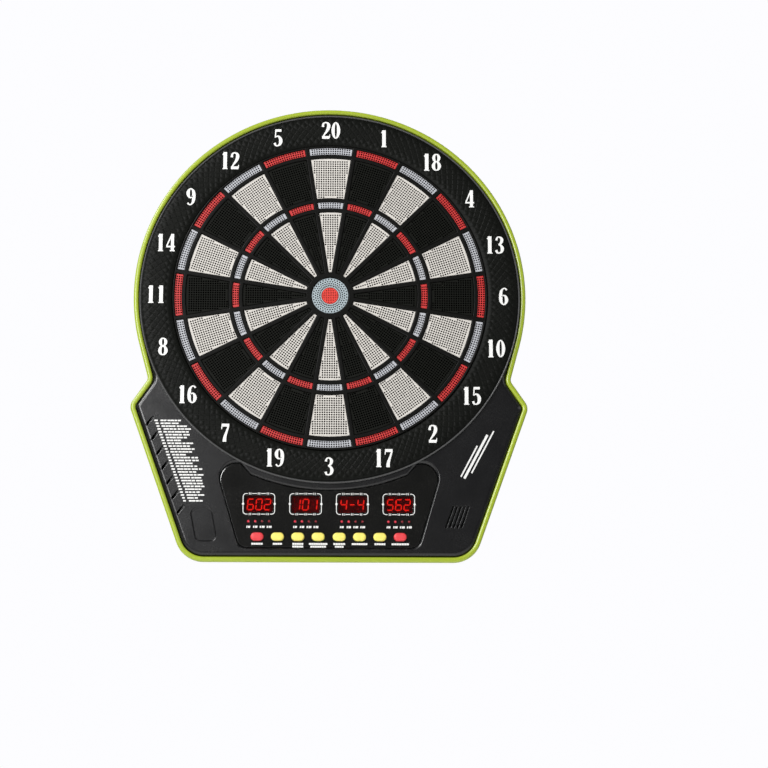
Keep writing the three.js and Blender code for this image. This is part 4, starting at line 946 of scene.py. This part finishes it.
def panel_outline(grow):
    """The fascia's outline, larger by grow: its top follows the ring and its corners are soft."""
    lean = PANEL_FLARE / panel_height
    foot_x = PANEL_HALF + grow
    top_x = foot_x + lean * (panel_height + grow) * 0.97
    low = (foot_x - lean * grow, PANEL_FOOT_Y - grow)
    reach = PANEL_R - grow
    top = (top_x, -math.sqrt(reach ** 2 - (top_x - 4) ** 2))
    side = round_corner((0, low[1]), low, top, (18 + grow) * 0.6, 10)
    side += round_corner(low, top, (0, -reach + 4), 18 + grow, 12)
    last = math.degrees(math.atan2(side[-1][1], side[-1][0]))
    over = arc(0, 0, reach, last - 4, -180 - last + 4, 40)
    return side + over + [(-x, y) for x, y in side[::-1]]


def rounding(outside, inside, low, high, steps=8):
    """A quarter-ellipse between two insets and two depths, as (inset, depth), outside first."""
    made = []
    for i in range(steps + 1):
        a = math.pi / 2 * i / steps
        made.append((inside - (inside - outside) * math.cos(a), low + (high - low) * math.sin(a)))
    return made


CEILING = FACE - 2.5
shoulder = rounding(6.0, 11.0, 25.0, FACE)[::-1]
rim = [(cabinet(inset), z) for inset, z in shoulder + [(6.0, 15.0), (6.4, 14.6), (8.1, 14.6), (8.5, 15.0),
                                                       (8.5, 24.5), (11.5, CEILING)]]
panel_bevel = [(2.4, 0.0), (2.0, -0.08), (1.5, -0.35), (0.9, -0.8), (0.4, -1.5), (0.15, -2.1), (0.0, -2.5)]
windows = [([(circle(0, 0, 180.6, 240), FACE), (circle(0, 0, 180.6, 240), CEILING)], False),
           ([(panel_outline(grow), FACE + z) for grow, z in panel_bevel], False)]


def sunk(outline, depth, ease=0.4):
    """A blind pocket with an eased mouth. outline(grow) gives its shape, a little larger or smaller."""
    return ([(outline(ease), FACE), (outline(ease * 0.3), FACE - ease * 0.3), (outline(0), FACE - ease),
             (outline(0), FACE - depth + ease), (outline(-ease), FACE - depth)], True)


recess_x = side_x(-255, 6) - 28
windows.append(sunk(lambda grow: rounded(rectangle(-recess_x + 2, -256, 23 + 2 * grow, 36 + 2 * grow, -0.2),
                                         6 + grow, 8), 1.6, 0.78))
for i in range(7):
    y = -142 - 16.3 * i
    x = -(side_x(y, 11) - 5.2)
    windows.append(sunk(lambda grow, x=x, y=y: pill(x, y, 2.7 + 2 * grow, 13 + 2 * grow, -39), 1.5, 0.3))
SPEAKER_AT = (side_x(-247, 16.5) - 18, -247.0)
for i in range(5):
    x = SPEAKER_AT[0] + (i - 2) * 4.2
    windows.append(([(pill(x, -247, 2 + 2 * grow, 26 + 2 * grow, -WING_LEAN), FACE + z)
                     for grow, z in ((0.4, 0.0), (0.12, -0.12), (0.0, -0.4), (0.0, -2.5))], False))
for x, y in ((133.6, -271.6), (138.2, -273.4), (142.8, -271.6)):
    windows.append(([(circle(x, y, 0.9, 12), FACE), (circle(x, y, 0.8, 12), FACE - 0.3),
                     (circle(x, y, 0.8, 12), FACE - 1.6)], True))
housing = plate(rim, windows)
piece("front_shell", housing, CASE_BLACK, stands_for=["front_housing"], slot="cabinet_plastic", narrow=0.5)
print("housing:", len(housing.polygons), "faces,", len(windows), "openings")

# %% [markdown]
# ## The lime edge trim
# A soft band runs all the way round the housing. Its section is a closed chain of insets and depths,
# and one copy of the outline is skinned at each, back to where it began.

# %% Edge trim
TRIM_FRONT = front_of("edge_trim")
section = ([(5.6, 24.2), (0.8, 24.2), (0.3, 24.4), (0.1, 24.9)] + rounding(0.1, 2.4, 27.0, TRIM_FRONT, 6)
           + [(3.6, TRIM_FRONT), (4.6, TRIM_FRONT - 0.15), (5.3, TRIM_FRONT - 0.6), (5.6, TRIM_FRONT - 1.2)])
bm = bmesh.new()
loops = [lifted(cabinet(inset), z) for inset, z in section]
skin(bm, loops + loops[:1])
trim = finish_mesh(bm)
piece("trim_band", trim, LIME, stands_for=["edge_trim"], slot="trim_plastic", crisp=40)
print("trim:", len(trim.polygons), "faces")

# %% [markdown]
# ## The control fascia
# The fascia is a separate gloss plate that drops into the housing. It has four display windows, four
# pin-holes for lamps under each, and eight holes for the rubber keys. Every hole gets a small eased
# mouth, because a sharp hole looks cut out of paper.

# %% Fascia
DISPLAY_XS = [-75.9, -25.3, 25.3, 75.9]
DISPLAY_Y, LAMP_Y, KEY_Y = -233.0, -252.0, -269.0
LAMP_STEPS = [-11.25, -3.75, 3.75, 11.25]
LAMP_R, LAMP_HOLE_R = 1.35, 1.5
WINDOW_W, WINDOW_H = 30.4, 18.6
KEYS = ["power", "game", "option", "player", "double", "handicap", "sound", "start"]
KEY_XS = [-77.4, -55.4, -33.4, -11.4, 11.4, 33.4, 55.4, 77.4]


def mouth(outline, ease=0.3, top=PANEL_FRONT, floor=PANEL_BACK):
    """A through hole with an eased mouth."""
    return ([(outline(ease), top), (outline(ease * 0.3), top - ease * 0.3), (outline(0), top - ease),
             (outline(0), floor)], False)


def frame_outline(x, y, width, height, radius):
    return lambda grow: rounded(rectangle(x, y, width + 2 * grow, height + 2 * grow), radius + grow, 6)


windows = [mouth(frame_outline(x, DISPLAY_Y, WINDOW_W, WINDOW_H, 1.4), 0.4) for x in DISPLAY_XS]
windows += [mouth(lambda grow, x=x, d=d: circle(x + d, LAMP_Y, LAMP_HOLE_R + grow, 20), 0.2)
            for x in DISPLAY_XS for d in LAMP_STEPS]
windows += [mouth(frame_outline(x, KEY_Y, 14.6, 9.6, 4.75), 0.4) for x in KEY_XS]
fascia = plate([(panel_outline(-1.3), PANEL_FRONT), (panel_outline(-0.8), PANEL_FRONT - 0.1),
                (panel_outline(-0.5), PANEL_FRONT - 0.5), (panel_outline(-0.4), PANEL_FRONT - 0.9),
                (panel_outline(-0.4), PANEL_BACK)], windows)
piece("fascia", fascia, FASCIA_BLACK, stands_for=["control_panel"], slot="fascia_plastic", narrow=0.5)
print("fascia:", len(fascia.polygons), "faces,", len(windows), "holes")

# %% [markdown]
# ## Printing on the fascia
# The print is white ink. Each display has a bracket and a diamond at either side, with dashes and
# ticks above and below. Each lamp has a short mark under it and each key a caption. Marks and
# captions are plain bars that stand for words, and no word is drawn. Ink is a very thin film.

# %% Printed frames, marks and captions
INK = (PANEL_FRONT - 0.02, PANEL_FRONT + 0.06)
FRAME_W, FRAME_H, FRAME_LINE = 34.3, 22.6, 0.75


def ink(outline, level=INK):
    """A printed shape: a very thin closed plate."""
    return slab([(outline, level[0]), (outline, level[1])])


def bracket(x, side, line=FRAME_LINE, end=12.2):
    """One side of a display's printed frame: a line down the side and round both corners."""
    def path(grow):
        points = rounded(rectangle(x, DISPLAY_Y, FRAME_W + 2 * grow, FRAME_H + 2 * grow), 3.4 + grow, 8)
        half = points[9:27] if side > 0 else points[27:] + points[:9]
        return [(x + side * end, half[0][1])] + half + [(x + side * end, half[-1][1])]

    return ink(path(line / 2) + path(-line / 2)[::-1])


print_shapes = []
for x in DISPLAY_XS:
    print_shapes += [bracket(x, -1), bracket(x, 1)]
    for edge_y in (DISPLAY_Y - FRAME_H / 2, DISPLAY_Y + FRAME_H / 2):
        for d in (-9.6, 0.0, 9.6):
            print_shapes += [ink(rectangle(x + d + push, edge_y, FRAME_LINE, 2.2)) for push in (-0.85, 0.85)]
        for d in (-4.8, 4.8):
            print_shapes.append(ink(rectangle(x + d, edge_y, 5.2, FRAME_LINE)))
    for edge_x in (x - FRAME_W / 2, x + FRAME_W / 2):
        print_shapes.append(ink([(edge_x - 1.4, DISPLAY_Y), (edge_x, DISPLAY_Y - 2.1),
                                 (edge_x + 1.4, DISPLAY_Y), (edge_x, DISPLAY_Y + 2.1)],
                                (INK[0], INK[1] + 0.03)))
    for d, width in zip(LAMP_STEPS, (4.0, 4.6, 5.2, 5.2)):
        for offset in (-width / 3, width / 12, width / 2.6):
            print_shapes.append(ink(rectangle(x + d + offset, LAMP_Y - 6.2, width / 3.6, 2.3, 0.12)))
CAPTIONS = [(12.5, 0), (10.0, 0), (12.0, 12.0), (20.0, 17.0), (13.0, 9.5), (17.0, 0), (12.0, 0), (19.0, 0)]
for x, widths in zip(KEY_XS, CAPTIONS):
    for line, width in enumerate(widths):
        marks = round(width / 2.6)
        for i in range(marks):
            part = width / marks
            print_shapes.append(ink(rectangle(x - width / 2 + part * (i + 0.5), KEY_Y - 7.7 - 2.9 * line,
                                              part * 0.9, 2.05)))
piece("fascia_print", joined(*print_shapes), INK_WHITE, crisp=30)
print(len(print_shapes), "printed shapes on the fascia")

# %% [markdown]
# ## Displays and lamps
# Behind the smoked lens are four digit blocks. Each shows three figures made of seven bars, and a
# bar is either lit or dark. The lamps under each display are small domes, two of them lit. Light from
# a bar is a real emission, so it glows a little on the lens and the block around it.

# %% Digit blocks, bars and lamps
BLOCK_FRONT = front_of("score_display_1")
SEVEN = {"0": "abcdef", "1": "bc", "2": "abged", "4": "fgbc", "5": "afgcd", "6": "afgedc", "-": "g"}
READINGS = ["602", "101", "4-4", "562"]
DIGIT_W, DIGIT_H, BAR, SLANT = 6.2, 11.6, 1.35, 0.09


def bar_shape(name, x, y):
    """One of a figure's seven bars, as a pointed bar that leans with the figure."""
    w, h, b = DIGIT_W / 2, DIGIT_H / 2, BAR / 2
    ends = {"a": ((-w, h), (w, h)), "d": ((-w, -h), (w, -h)), "g": ((-w, 0), (w, 0)),
            "f": ((-w, 0), (-w, h)), "b": ((w, 0), (w, h)), "e": ((-w, -h), (-w, 0)), "c": ((w, -h), (w, 0))}
    start, end = (Vector(p) for p in ends[name])
    along = (end - start).normalized()
    start, end = start + along * 0.28, end - along * 0.28
    side = Vector((-along.y, along.x)) * b
    points = [start, start + along * b - side, end - along * b - side, end, end - along * b + side,
              start + along * b + side]
    return [(x + p.x + p.y * SLANT, y + p.y) for p in points]


lit, dark = [], []
for x, reading in zip(DISPLAY_XS, READINGS):
    for place, figure in zip((-9.2, 0.0, 9.2), reading):
        for name in "abcdefg":
            shape = ink(bar_shape(name, x + place, DISPLAY_Y), (BLOCK_FRONT - 0.02, BLOCK_FRONT + 0.08))
            (lit if name in SEVEN[figure] else dark).append(shape)
piece("lit_bars", joined(*lit), LIGHT_ON)
piece("dark_bars", joined(*dark), LIGHT_OFF)
for i, x in enumerate(DISPLAY_XS):
    block = slab([(rounded(rectangle(x, DISPLAY_Y, w, h), 1.2), z) for w, h, z in (
        (36, 24, back_of(f"score_display_{i + 1}")), (36, 24, BLOCK_FRONT - 0.4), (35.2, 23.2, BLOCK_FRONT))])
    piece(f"digit_block_{i + 1}", block, DISPLAY_DARK, stands_for=[f"score_display_{i + 1}"],
          slot="display_case")


def dome(x, y, radius, low, high, steps=20):
    """A small dome: rings that close towards the top."""
    rings = [(radius * math.cos(a), low + (high - low) * math.sin(a))
             for a in (math.radians(d) for d in (0, 20, 40, 60, 75, 90))]
    bm = bmesh.new()
    first, _ = skin(bm, [lifted(circle(x, y, max(r, 1e-4), steps), z) for r, z in rings])
    cap(bm, first)
    return finish_mesh(bm)


LAMP_DEPTHS = (27.2, 28.5)
lamps_on = [dome(x + d, LAMP_Y, LAMP_R, *LAMP_DEPTHS) for x in DISPLAY_XS for d in LAMP_STEPS[:2]]
lamps_off = [dome(x + d, LAMP_Y, LAMP_R, *LAMP_DEPTHS) for x in DISPLAY_XS for d in LAMP_STEPS[2:]]
piece("lamps_lit", joined(*lamps_on), LAMP_ON)
piece("lamps_dark", joined(*lamps_off), LAMP_OFF)
lens = slab([(rounded(rectangle(0, -237.7, 190.8 - cut, 35.6 - cut), 2.0), z) for cut, z in (
    (0, 24.0), (0, 25.5), (0.4, 25.7))])
piece("lens", lens, LENS, stands_for=["display_lens"], slot="lens_plastic")
print(len(lit), "lit bars,", len(dark), "dark bars,", len(lamps_on) + len(lamps_off), "lamps")

# %% [markdown]
# ## The keys
# A key is a soft rubber pill that stands through the fascia, with a crowned top. Each one is its own
# piece, because each rides on the body that its joint moves.

# %% Keys
KEY_FRONT = front_of("button_power")
KEY_BACK = back_of("button_power")
key_crown = [(0.0, KEY_BACK), (0.0, KEY_FRONT - 1.5), (-0.12, KEY_FRONT - 1.0), (-0.45, KEY_FRONT - 0.55),
             (-1.1, KEY_FRONT - 0.22), (-2.2, KEY_FRONT - 0.06), (-3.6, KEY_FRONT)]
for name, x in zip(KEYS, KEY_XS):
    key = slab([(rounded(rectangle(x, KEY_Y, 14 + 2 * grow, 9 + 2 * grow), max(4.48 + grow, 0.4), 10), z)
                for grow, z in key_crown])
    colour = "red" if name in ("power", "start") else "yellow"
    piece(f"key_{name}_cap", key, KEY_RED if colour == "red" else KEY_YELLOW, body=f"key_{name}",
          stands_for=[f"button_{name}"], slot=f"button_{colour}", crisp=50)
print(len(KEYS), "keys, front at", round(KEY_FRONT, 1))

# %% [markdown]
# ## Printing on the wings
# The left wing carries a printed table of games: about thirty short rows that step outwards with the
# wing's slope. Each row is a code and a line of words, drawn here as plain bars. It repeats with a
# rule, so a Geometry Nodes tree draws it from a seed. The right wing has a few slanted stripes where
# a maker would put a mark of their own.

# %% Tree that prints a table of bars
table = new_tree(
    "printed table", "GeometryNodeTree",
    {"Geometry": ("NodeSocketGeometry", None), "Rows": (WHOLE, 30), "Top": (FLOAT, -137.5),
     "Row pitch": (FLOAT, 3.17), "Left": (FLOAT, -189.0), "Slope": (FLOAT, 0.57), "Words": (WHOLE, 9),
     "Word pitch": (FLOAT, 5.6), "Bar height": (FLOAT, 1.75), "Front": (FLOAT, 30.0), "Seed": (WHOLE, 4),
     "Finish": ("NodeSocketMaterial", None)},
    {"Geometry": "NodeSocketGeometry"})
node, first, calc = tools(table)
size = node("NodeGroupInput").outputs
spots = first("GeometryNodeMeshGrid", {"Size X": 1.0, "Size Y": 1.0, "Vertices X": size["Rows"],
                                            "Vertices Y": size["Words"]})
index = first("GeometryNodeInputIndex")
row = calc("FLOOR", calc("DIVIDE", calc("ADD", index, 0.5), size["Words"]))
word = calc("SUBTRACT", index, calc("MULTIPLY", row, size["Words"]))
fall = calc("MULTIPLY", row, size["Row pitch"])


def chance(low, high, ident, offset):
    """A random number for each row or word, steady for one seed."""
    made = node("FunctionNodeRandomValue", {2: low, 3: high, "ID": ident,
                                                  "Seed": calc("ADD", size["Seed"], offset)},
               data_type="FLOAT")
    return made.outputs[1]


jitter = chance(-0.5, 0.5, index, 1.0)
past_code = calc("GREATER_THAN", word, 0.5)
along = calc("MULTIPLY_ADD", past_code, 2.0, calc("MULTIPLY", word, size["Word pitch"]))
shift = calc("MULTIPLY", jitter, past_code)
x = calc("ADD", calc("MULTIPLY_ADD", fall, size["Slope"], size["Left"]),
         calc("ADD", along, shift))
y = calc("SUBTRACT", size["Top"], fall)
place = first("ShaderNodeCombineXYZ", {"X": x, "Y": y, "Z": size["Front"]})
spots = first("GeometryNodeSetPosition", {"Geometry": spots, "Position": place})
words = chance(3.6, 8.6, row, 7.0)
shown = calc("LESS_THAN", word, words)
bar = first("GeometryNodeMeshCube", {"Size": (1.0, 1.0, 0.08)})
width = calc("MULTIPLY", size["Word pitch"], chance(0.74, 0.98, index, 3.0))
scale = first("ShaderNodeCombineXYZ", {"X": width, "Y": size["Bar height"], "Z": 1.0})
bars = first("GeometryNodeInstanceOnPoints", {"Points": spots, "Selection": shown, "Instance": bar,
                                                   "Scale": scale})
whole = first("GeometryNodeRealizeInstances", {0: bars})
node("NodeGroupOutput", {"Geometry": first("GeometryNodeSetMaterial", {
    "Geometry": whole, "Material": size["Finish"]})})

# %% [markdown]
# ## The table and the stripes in place
# The tree is run once with this wing's own sizes, which are its named inputs. The stripes are three
# thin leaning plates. Both lie on the housing's face, as a transfer print does.

# %% Games table and stripes
blank = bpy.data.meshes.new("blank")
games = run_tree(table, blank, rows=29, top=-141.5, left=-189.2, slope=0.37, word_pitch=3.9, words=10,
                 bar_height=1.6, front=FACE + 0.02, finish=INK_WHITE)
piece("games_table", games, INK_WHITE)
stripes = []
mark = Vector((161.8, -177.0))
lean = Vector((math.sin(math.radians(27.8)), math.cos(math.radians(27.8))))
side = Vector((lean.y, -lean.x))
for start, end, offset, width in ((-31, 24, 0.0, 2.6), (-22, 31, 4.2, 1.6), (-31, 8, -4.2, 1.6)):
    a, b = mark + lean * start + side * offset, mark + lean * end + side * offset
    half = side * width / 2
    stripes.append(ink([tuple(a - half), tuple(a + half), tuple(b + half), tuple(b - half)],
                       (FACE - 0.02, FACE + 0.06)))
piece("wing_stripes", joined(*stripes), INK_WHITE)
print("games table:", len(games.polygons), "faces; stripes:", len(stripes))

# %% [markdown]
# ## The back
# The rear cover is a shallow tray. Its flat back stands on the wall, with two keyholes to hang by,
# eight sunk screws, and a power inlet in its lower edge. Only this face shows when the board is off
# the wall, so its openings are drawn as windows in a plate, seen from the wall side.

# %% Rear cover
COVER_WALL = 2.5
sections = [(13.2, 0.0), (12.2, 0.25), (11.6, 0.9), (10.0, 12.0), (2.6, 12.0), (2.1, 12.3), (2.0, 12.8),
            (2.0, 23.9), (5.6, 23.9), (5.6, 14.2), (12.5, 14.2), (14.0, COVER_WALL)]
bm = bmesh.new()
outer, inner = skin(bm, [lifted(cabinet(inset), z) for inset, z in sections])
SCREWS = [(195.5 * math.cos(math.radians(a)), 195.5 * math.sin(math.radians(a))) for a in (35, 145, -8, 188)]
SCREWS += [(side_x(-146, 24), -146.0), (-side_x(-146, 24), -146.0), (125.0, -275.5), (-125.0, -275.5)]


def keyhole_outline(x, grow):
    """A round head hole with a narrow slot rising from it."""
    head, slot = 5.5 + grow, 2.8 + grow
    turn = math.degrees(math.asin(slot / head))
    points = arc(x, 95, head, 90 + turn, 450 - turn, 36)
    return points + arc(x, 107, slot, 0, 180, 12)


back_rims, front_rims = [], []
for x in (-80, 80):
    top, floor = skin(bm, [lifted(keyhole_outline(x, 0.4), 0.0), lifted(keyhole_outline(x, 0.0), 0.4),
                           lifted(keyhole_outline(x, 0.0), COVER_WALL)])
    back_rims.append(top)
    front_rims.append(floor)
for x, y in SCREWS:
    top, floor = skin(bm, [lifted(circle(x, y, 4.4), 0.0), lifted(circle(x, y, 4.0), 0.4),
                           lifted(circle(x, y, 4.0), 4.6)])
    back_rims.append(top)
    cap(bm, floor)
cap(bm, outer, *back_rims)
cap(bm, inner, *front_rims)
cover = finish_mesh(bm)


def cut_with(mesh, cutter):
    """One closed mesh cut by another, with an exact boolean."""
    whole = bpy.data.objects.new("whole", mesh)
    tool = bpy.data.objects.new("tool", cutter)
    for o in (whole, tool):
        bpy.context.scene.collection.objects.link(o)
    modifier = whole.modifiers.new("cut", "BOOLEAN")
    modifier.object, modifier.operation, modifier.solver = tool, "DIFFERENCE", "EXACT"
    depsgraph = bpy.context.evaluated_depsgraph_get()
    made = bpy.data.meshes.new_from_object(whole.evaluated_get(depsgraph), depsgraph=depsgraph)
    for o in (whole, tool):
        bpy.data.objects.remove(o)
    return made


INLET = (60.0, 7.0)
drill = slab([(circle(0, 0, 4.9, 40), 0), (circle(0, 0, 4.5, 40), 3.0), (circle(0, 0, 4.5, 40), 22)])
drill.transform(Matrix.Translation((INLET[0], -289.5, INLET[1])) @ Matrix.Rotation(-math.pi / 2, 4, "X"))
cover = cut_with(cover, drill)
piece("back_tray", cover, COVER_BLACK, stands_for=["rear_cover"], slot="cover_plastic", narrow=0.7)
print("rear cover:", len(cover.polygons), "faces")

# %% [markdown]
# ## Screws
# Eight self-tapping screws hold the cover. One cross-head screw is drawn, with the cross sunk into
# its head, and a Geometry Nodes tree puts it in every hole, each turned by a random amount, as
# screws are after assembly.

# %% Screws
def cross(arm, grow, taper=0.0):
    """The outline of a cross recess."""
    w, r = 0.55 + grow, arm + grow - taper
    return [(w, w), (w, r), (-w, r), (-w, w), (-r, w), (-r, -w), (-w, -w), (-w, -r), (w, -r), (w, -w),
            (r, -w), (r, w)]


screw = plate([(circle(0, 0, 2.9, 32), 0.0), (circle(0, 0, 3.35, 32), -0.2), (circle(0, 0, 3.6, 32), -0.7),
               (circle(0, 0, 3.6, 32), -2.4), (circle(0, 0, 1.5, 32), -2.4), (circle(0, 0, 1.5, 32), -9.0)],
              [([(cross(2.1, 0.0), 0.0), (cross(2.1, -0.15, 0.9), -1.4)], True)])
screw.transform(Matrix.Rotation(math.pi, 4, "X"))
screw_pattern = new_tree(
    "screws in holes", "GeometryNodeTree",
    {"Geometry": ("NodeSocketGeometry", None), "Screw": ("NodeSocketObject", None), "Seed": (WHOLE, 11),
     "Finish": ("NodeSocketMaterial", None)},
    {"Geometry": "NodeSocketGeometry"})
node, first, calc = tools(screw_pattern)
size = node("NodeGroupInput").outputs
one = node("GeometryNodeObjectInfo", {"Object": size["Screw"]}).outputs["Geometry"]
twist = node("FunctionNodeRandomValue", {2: 0.0, 3: math.tau, "Seed": size["Seed"]},
            data_type="FLOAT").outputs[1]
turned_by = first("ShaderNodeCombineXYZ", {"Z": twist})
placed = first("GeometryNodeInstanceOnPoints", {
    "Points": size["Geometry"], "Instance": one,
    "Rotation": first("FunctionNodeEulerToRotation", {0: turned_by})})
whole = first("GeometryNodeRealizeInstances", {0: placed})
node("NodeGroupOutput", {"Geometry": first("GeometryNodeSetMaterial", {
    "Geometry": whole, "Material": size["Finish"]})})
holes = bpy.data.meshes.new("holes")
holes.from_pydata([(x, y, 2.0) for x, y in SCREWS], [], [])
sample = bpy.data.objects.new("sample_screw", screw)
bpy.context.scene.collection.objects.link(sample)
screws = run_tree(screw_pattern, holes, screw=sample, finish=SCREW_STEEL)
bpy.data.objects.remove(sample)
piece("case_screws", screws, SCREW_STEEL, stands_for=[f"case_screw_{i + 1}" for i in range(8)],
      slot="screw_steel")
print("screws:", len(screws.polygons), "faces")

# %% [markdown]
# ## What lies inside
# The boards, films, cables and the speaker are already the right shape in the CAD model, and only
# slivers of them show through the slots. They stay as they are and take real finishes.

# %% Finishes for the inner nodes
INSIDE = {"display_board": BOARD_GREEN, "main_board": BOARD_GREEN, "button_mat": RUBBER_GREY,
          "backing_board": HARDBOARD, "sensor_membrane": FILM, "return_pad": FOAM,
          "membrane_cable": CABLE_GREY, "display_cable": CABLE_GREY, "speaker_cable": CABLE_GREY,
          "speaker": CONE_BLACK, "power_jack": CASE_BLACK}
for name, material in INSIDE.items():
    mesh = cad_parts[name].data
    mesh.materials.clear()
    mesh.materials.append(material)
print(len(INSIDE), "inner nodes finished")

# %% [markdown]
# ## Floor, light and the last checks
# The board hangs in plain studio light. The key light is a large soft box, high on the left, so the
# left wing takes a sheen and the right one stays dark. The world is pale to the camera, but lights
# the board only weakly: black plastic is black because little around it is bright.

# %% Floor and lights
floor_mesh = bpy.data.meshes.new("floor")
FLOOR_Z, FLOOR_HALF = -1.73, 6
floor_mesh.from_pydata([(*corner, FLOOR_Z) for corner in rectangle(0, 0, 2 * FLOOR_HALF, 2 * FLOOR_HALF)],
                       [], [(0, 1, 2, 3)])
PALE_FLOOR = finish("pale_floor", (0.8, 0.8, 0.79), 0.8, drift=0.04, dust=0.0, rub=0.0, size=8.0,
                    depth=0.05)
floor_mesh.materials.append(PALE_FLOOR)
floor = bpy.data.objects.new("floor", floor_mesh)
bpy.context.scene.collection.objects.link(floor)
floor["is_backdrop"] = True

world = bpy.data.worlds.new("studio")
bpy.context.scene.world = world
world.use_nodes = True
sky = world.node_tree
shown = sky.nodes["Background"]
shown.inputs["Color"].default_value = (0.98, 0.98, 1.0, 1)
seen = add(sky, "ShaderNodeLightPath").outputs["Is Camera Ray"]
sky.links.new(tools(sky)[2]("MULTIPLY_ADD", seen, 0.9, 0.1), shown.inputs["Strength"])


def softbox(name, place, width, height, power, target=(0, 0, -0.04)):
    """A rectangular area light that faces the board."""
    light = bpy.data.lights.new(name, "AREA")
    light.shape, light.size, light.size_y, light.energy = "RECTANGLE", width, height, power
    made = bpy.data.objects.new(name, light)
    bpy.context.scene.collection.objects.link(made)
    made.location = place
    made.rotation_euler = (Vector(target) - Vector(place)).to_track_quat("-Z", "Y").to_euler()
    return made


softbox("key", (-2.1, -1.7, 1.9), 1.0, 1.0, 74)
softbox("sheen", (-1.25, -2.7, 0.55), 0.7, 0.9, 50)
softbox("fill", (2.6, -1.5, 0.9), 1.4, 1.4, 8)
softbox("floor_light", (0, 0, -1.0), 12, 12, 310, target=(0, 0, -1.7)).visible_camera = False
softbox("back", (0.6, 2.4, 1.2), 1.6, 1.6, 26)
bpy.context.scene.view_settings.view_transform = "Standard"
print(len(bpy.data.lights), "lights")

# %% [markdown]
# ## Measuring the result
# The dressed object has to stay inside the box of the CAD model, so both boxes are measured and
# written down side by side before the scene is closed.

# %% Sizes, and finish
made_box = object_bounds()
for name, cad, made in zip("xyz", zip(*cad_box), zip(*made_box)):
    print(name, "frame", [round(v, 4) for v in cad], "made", [round(v, 4) for v in made])
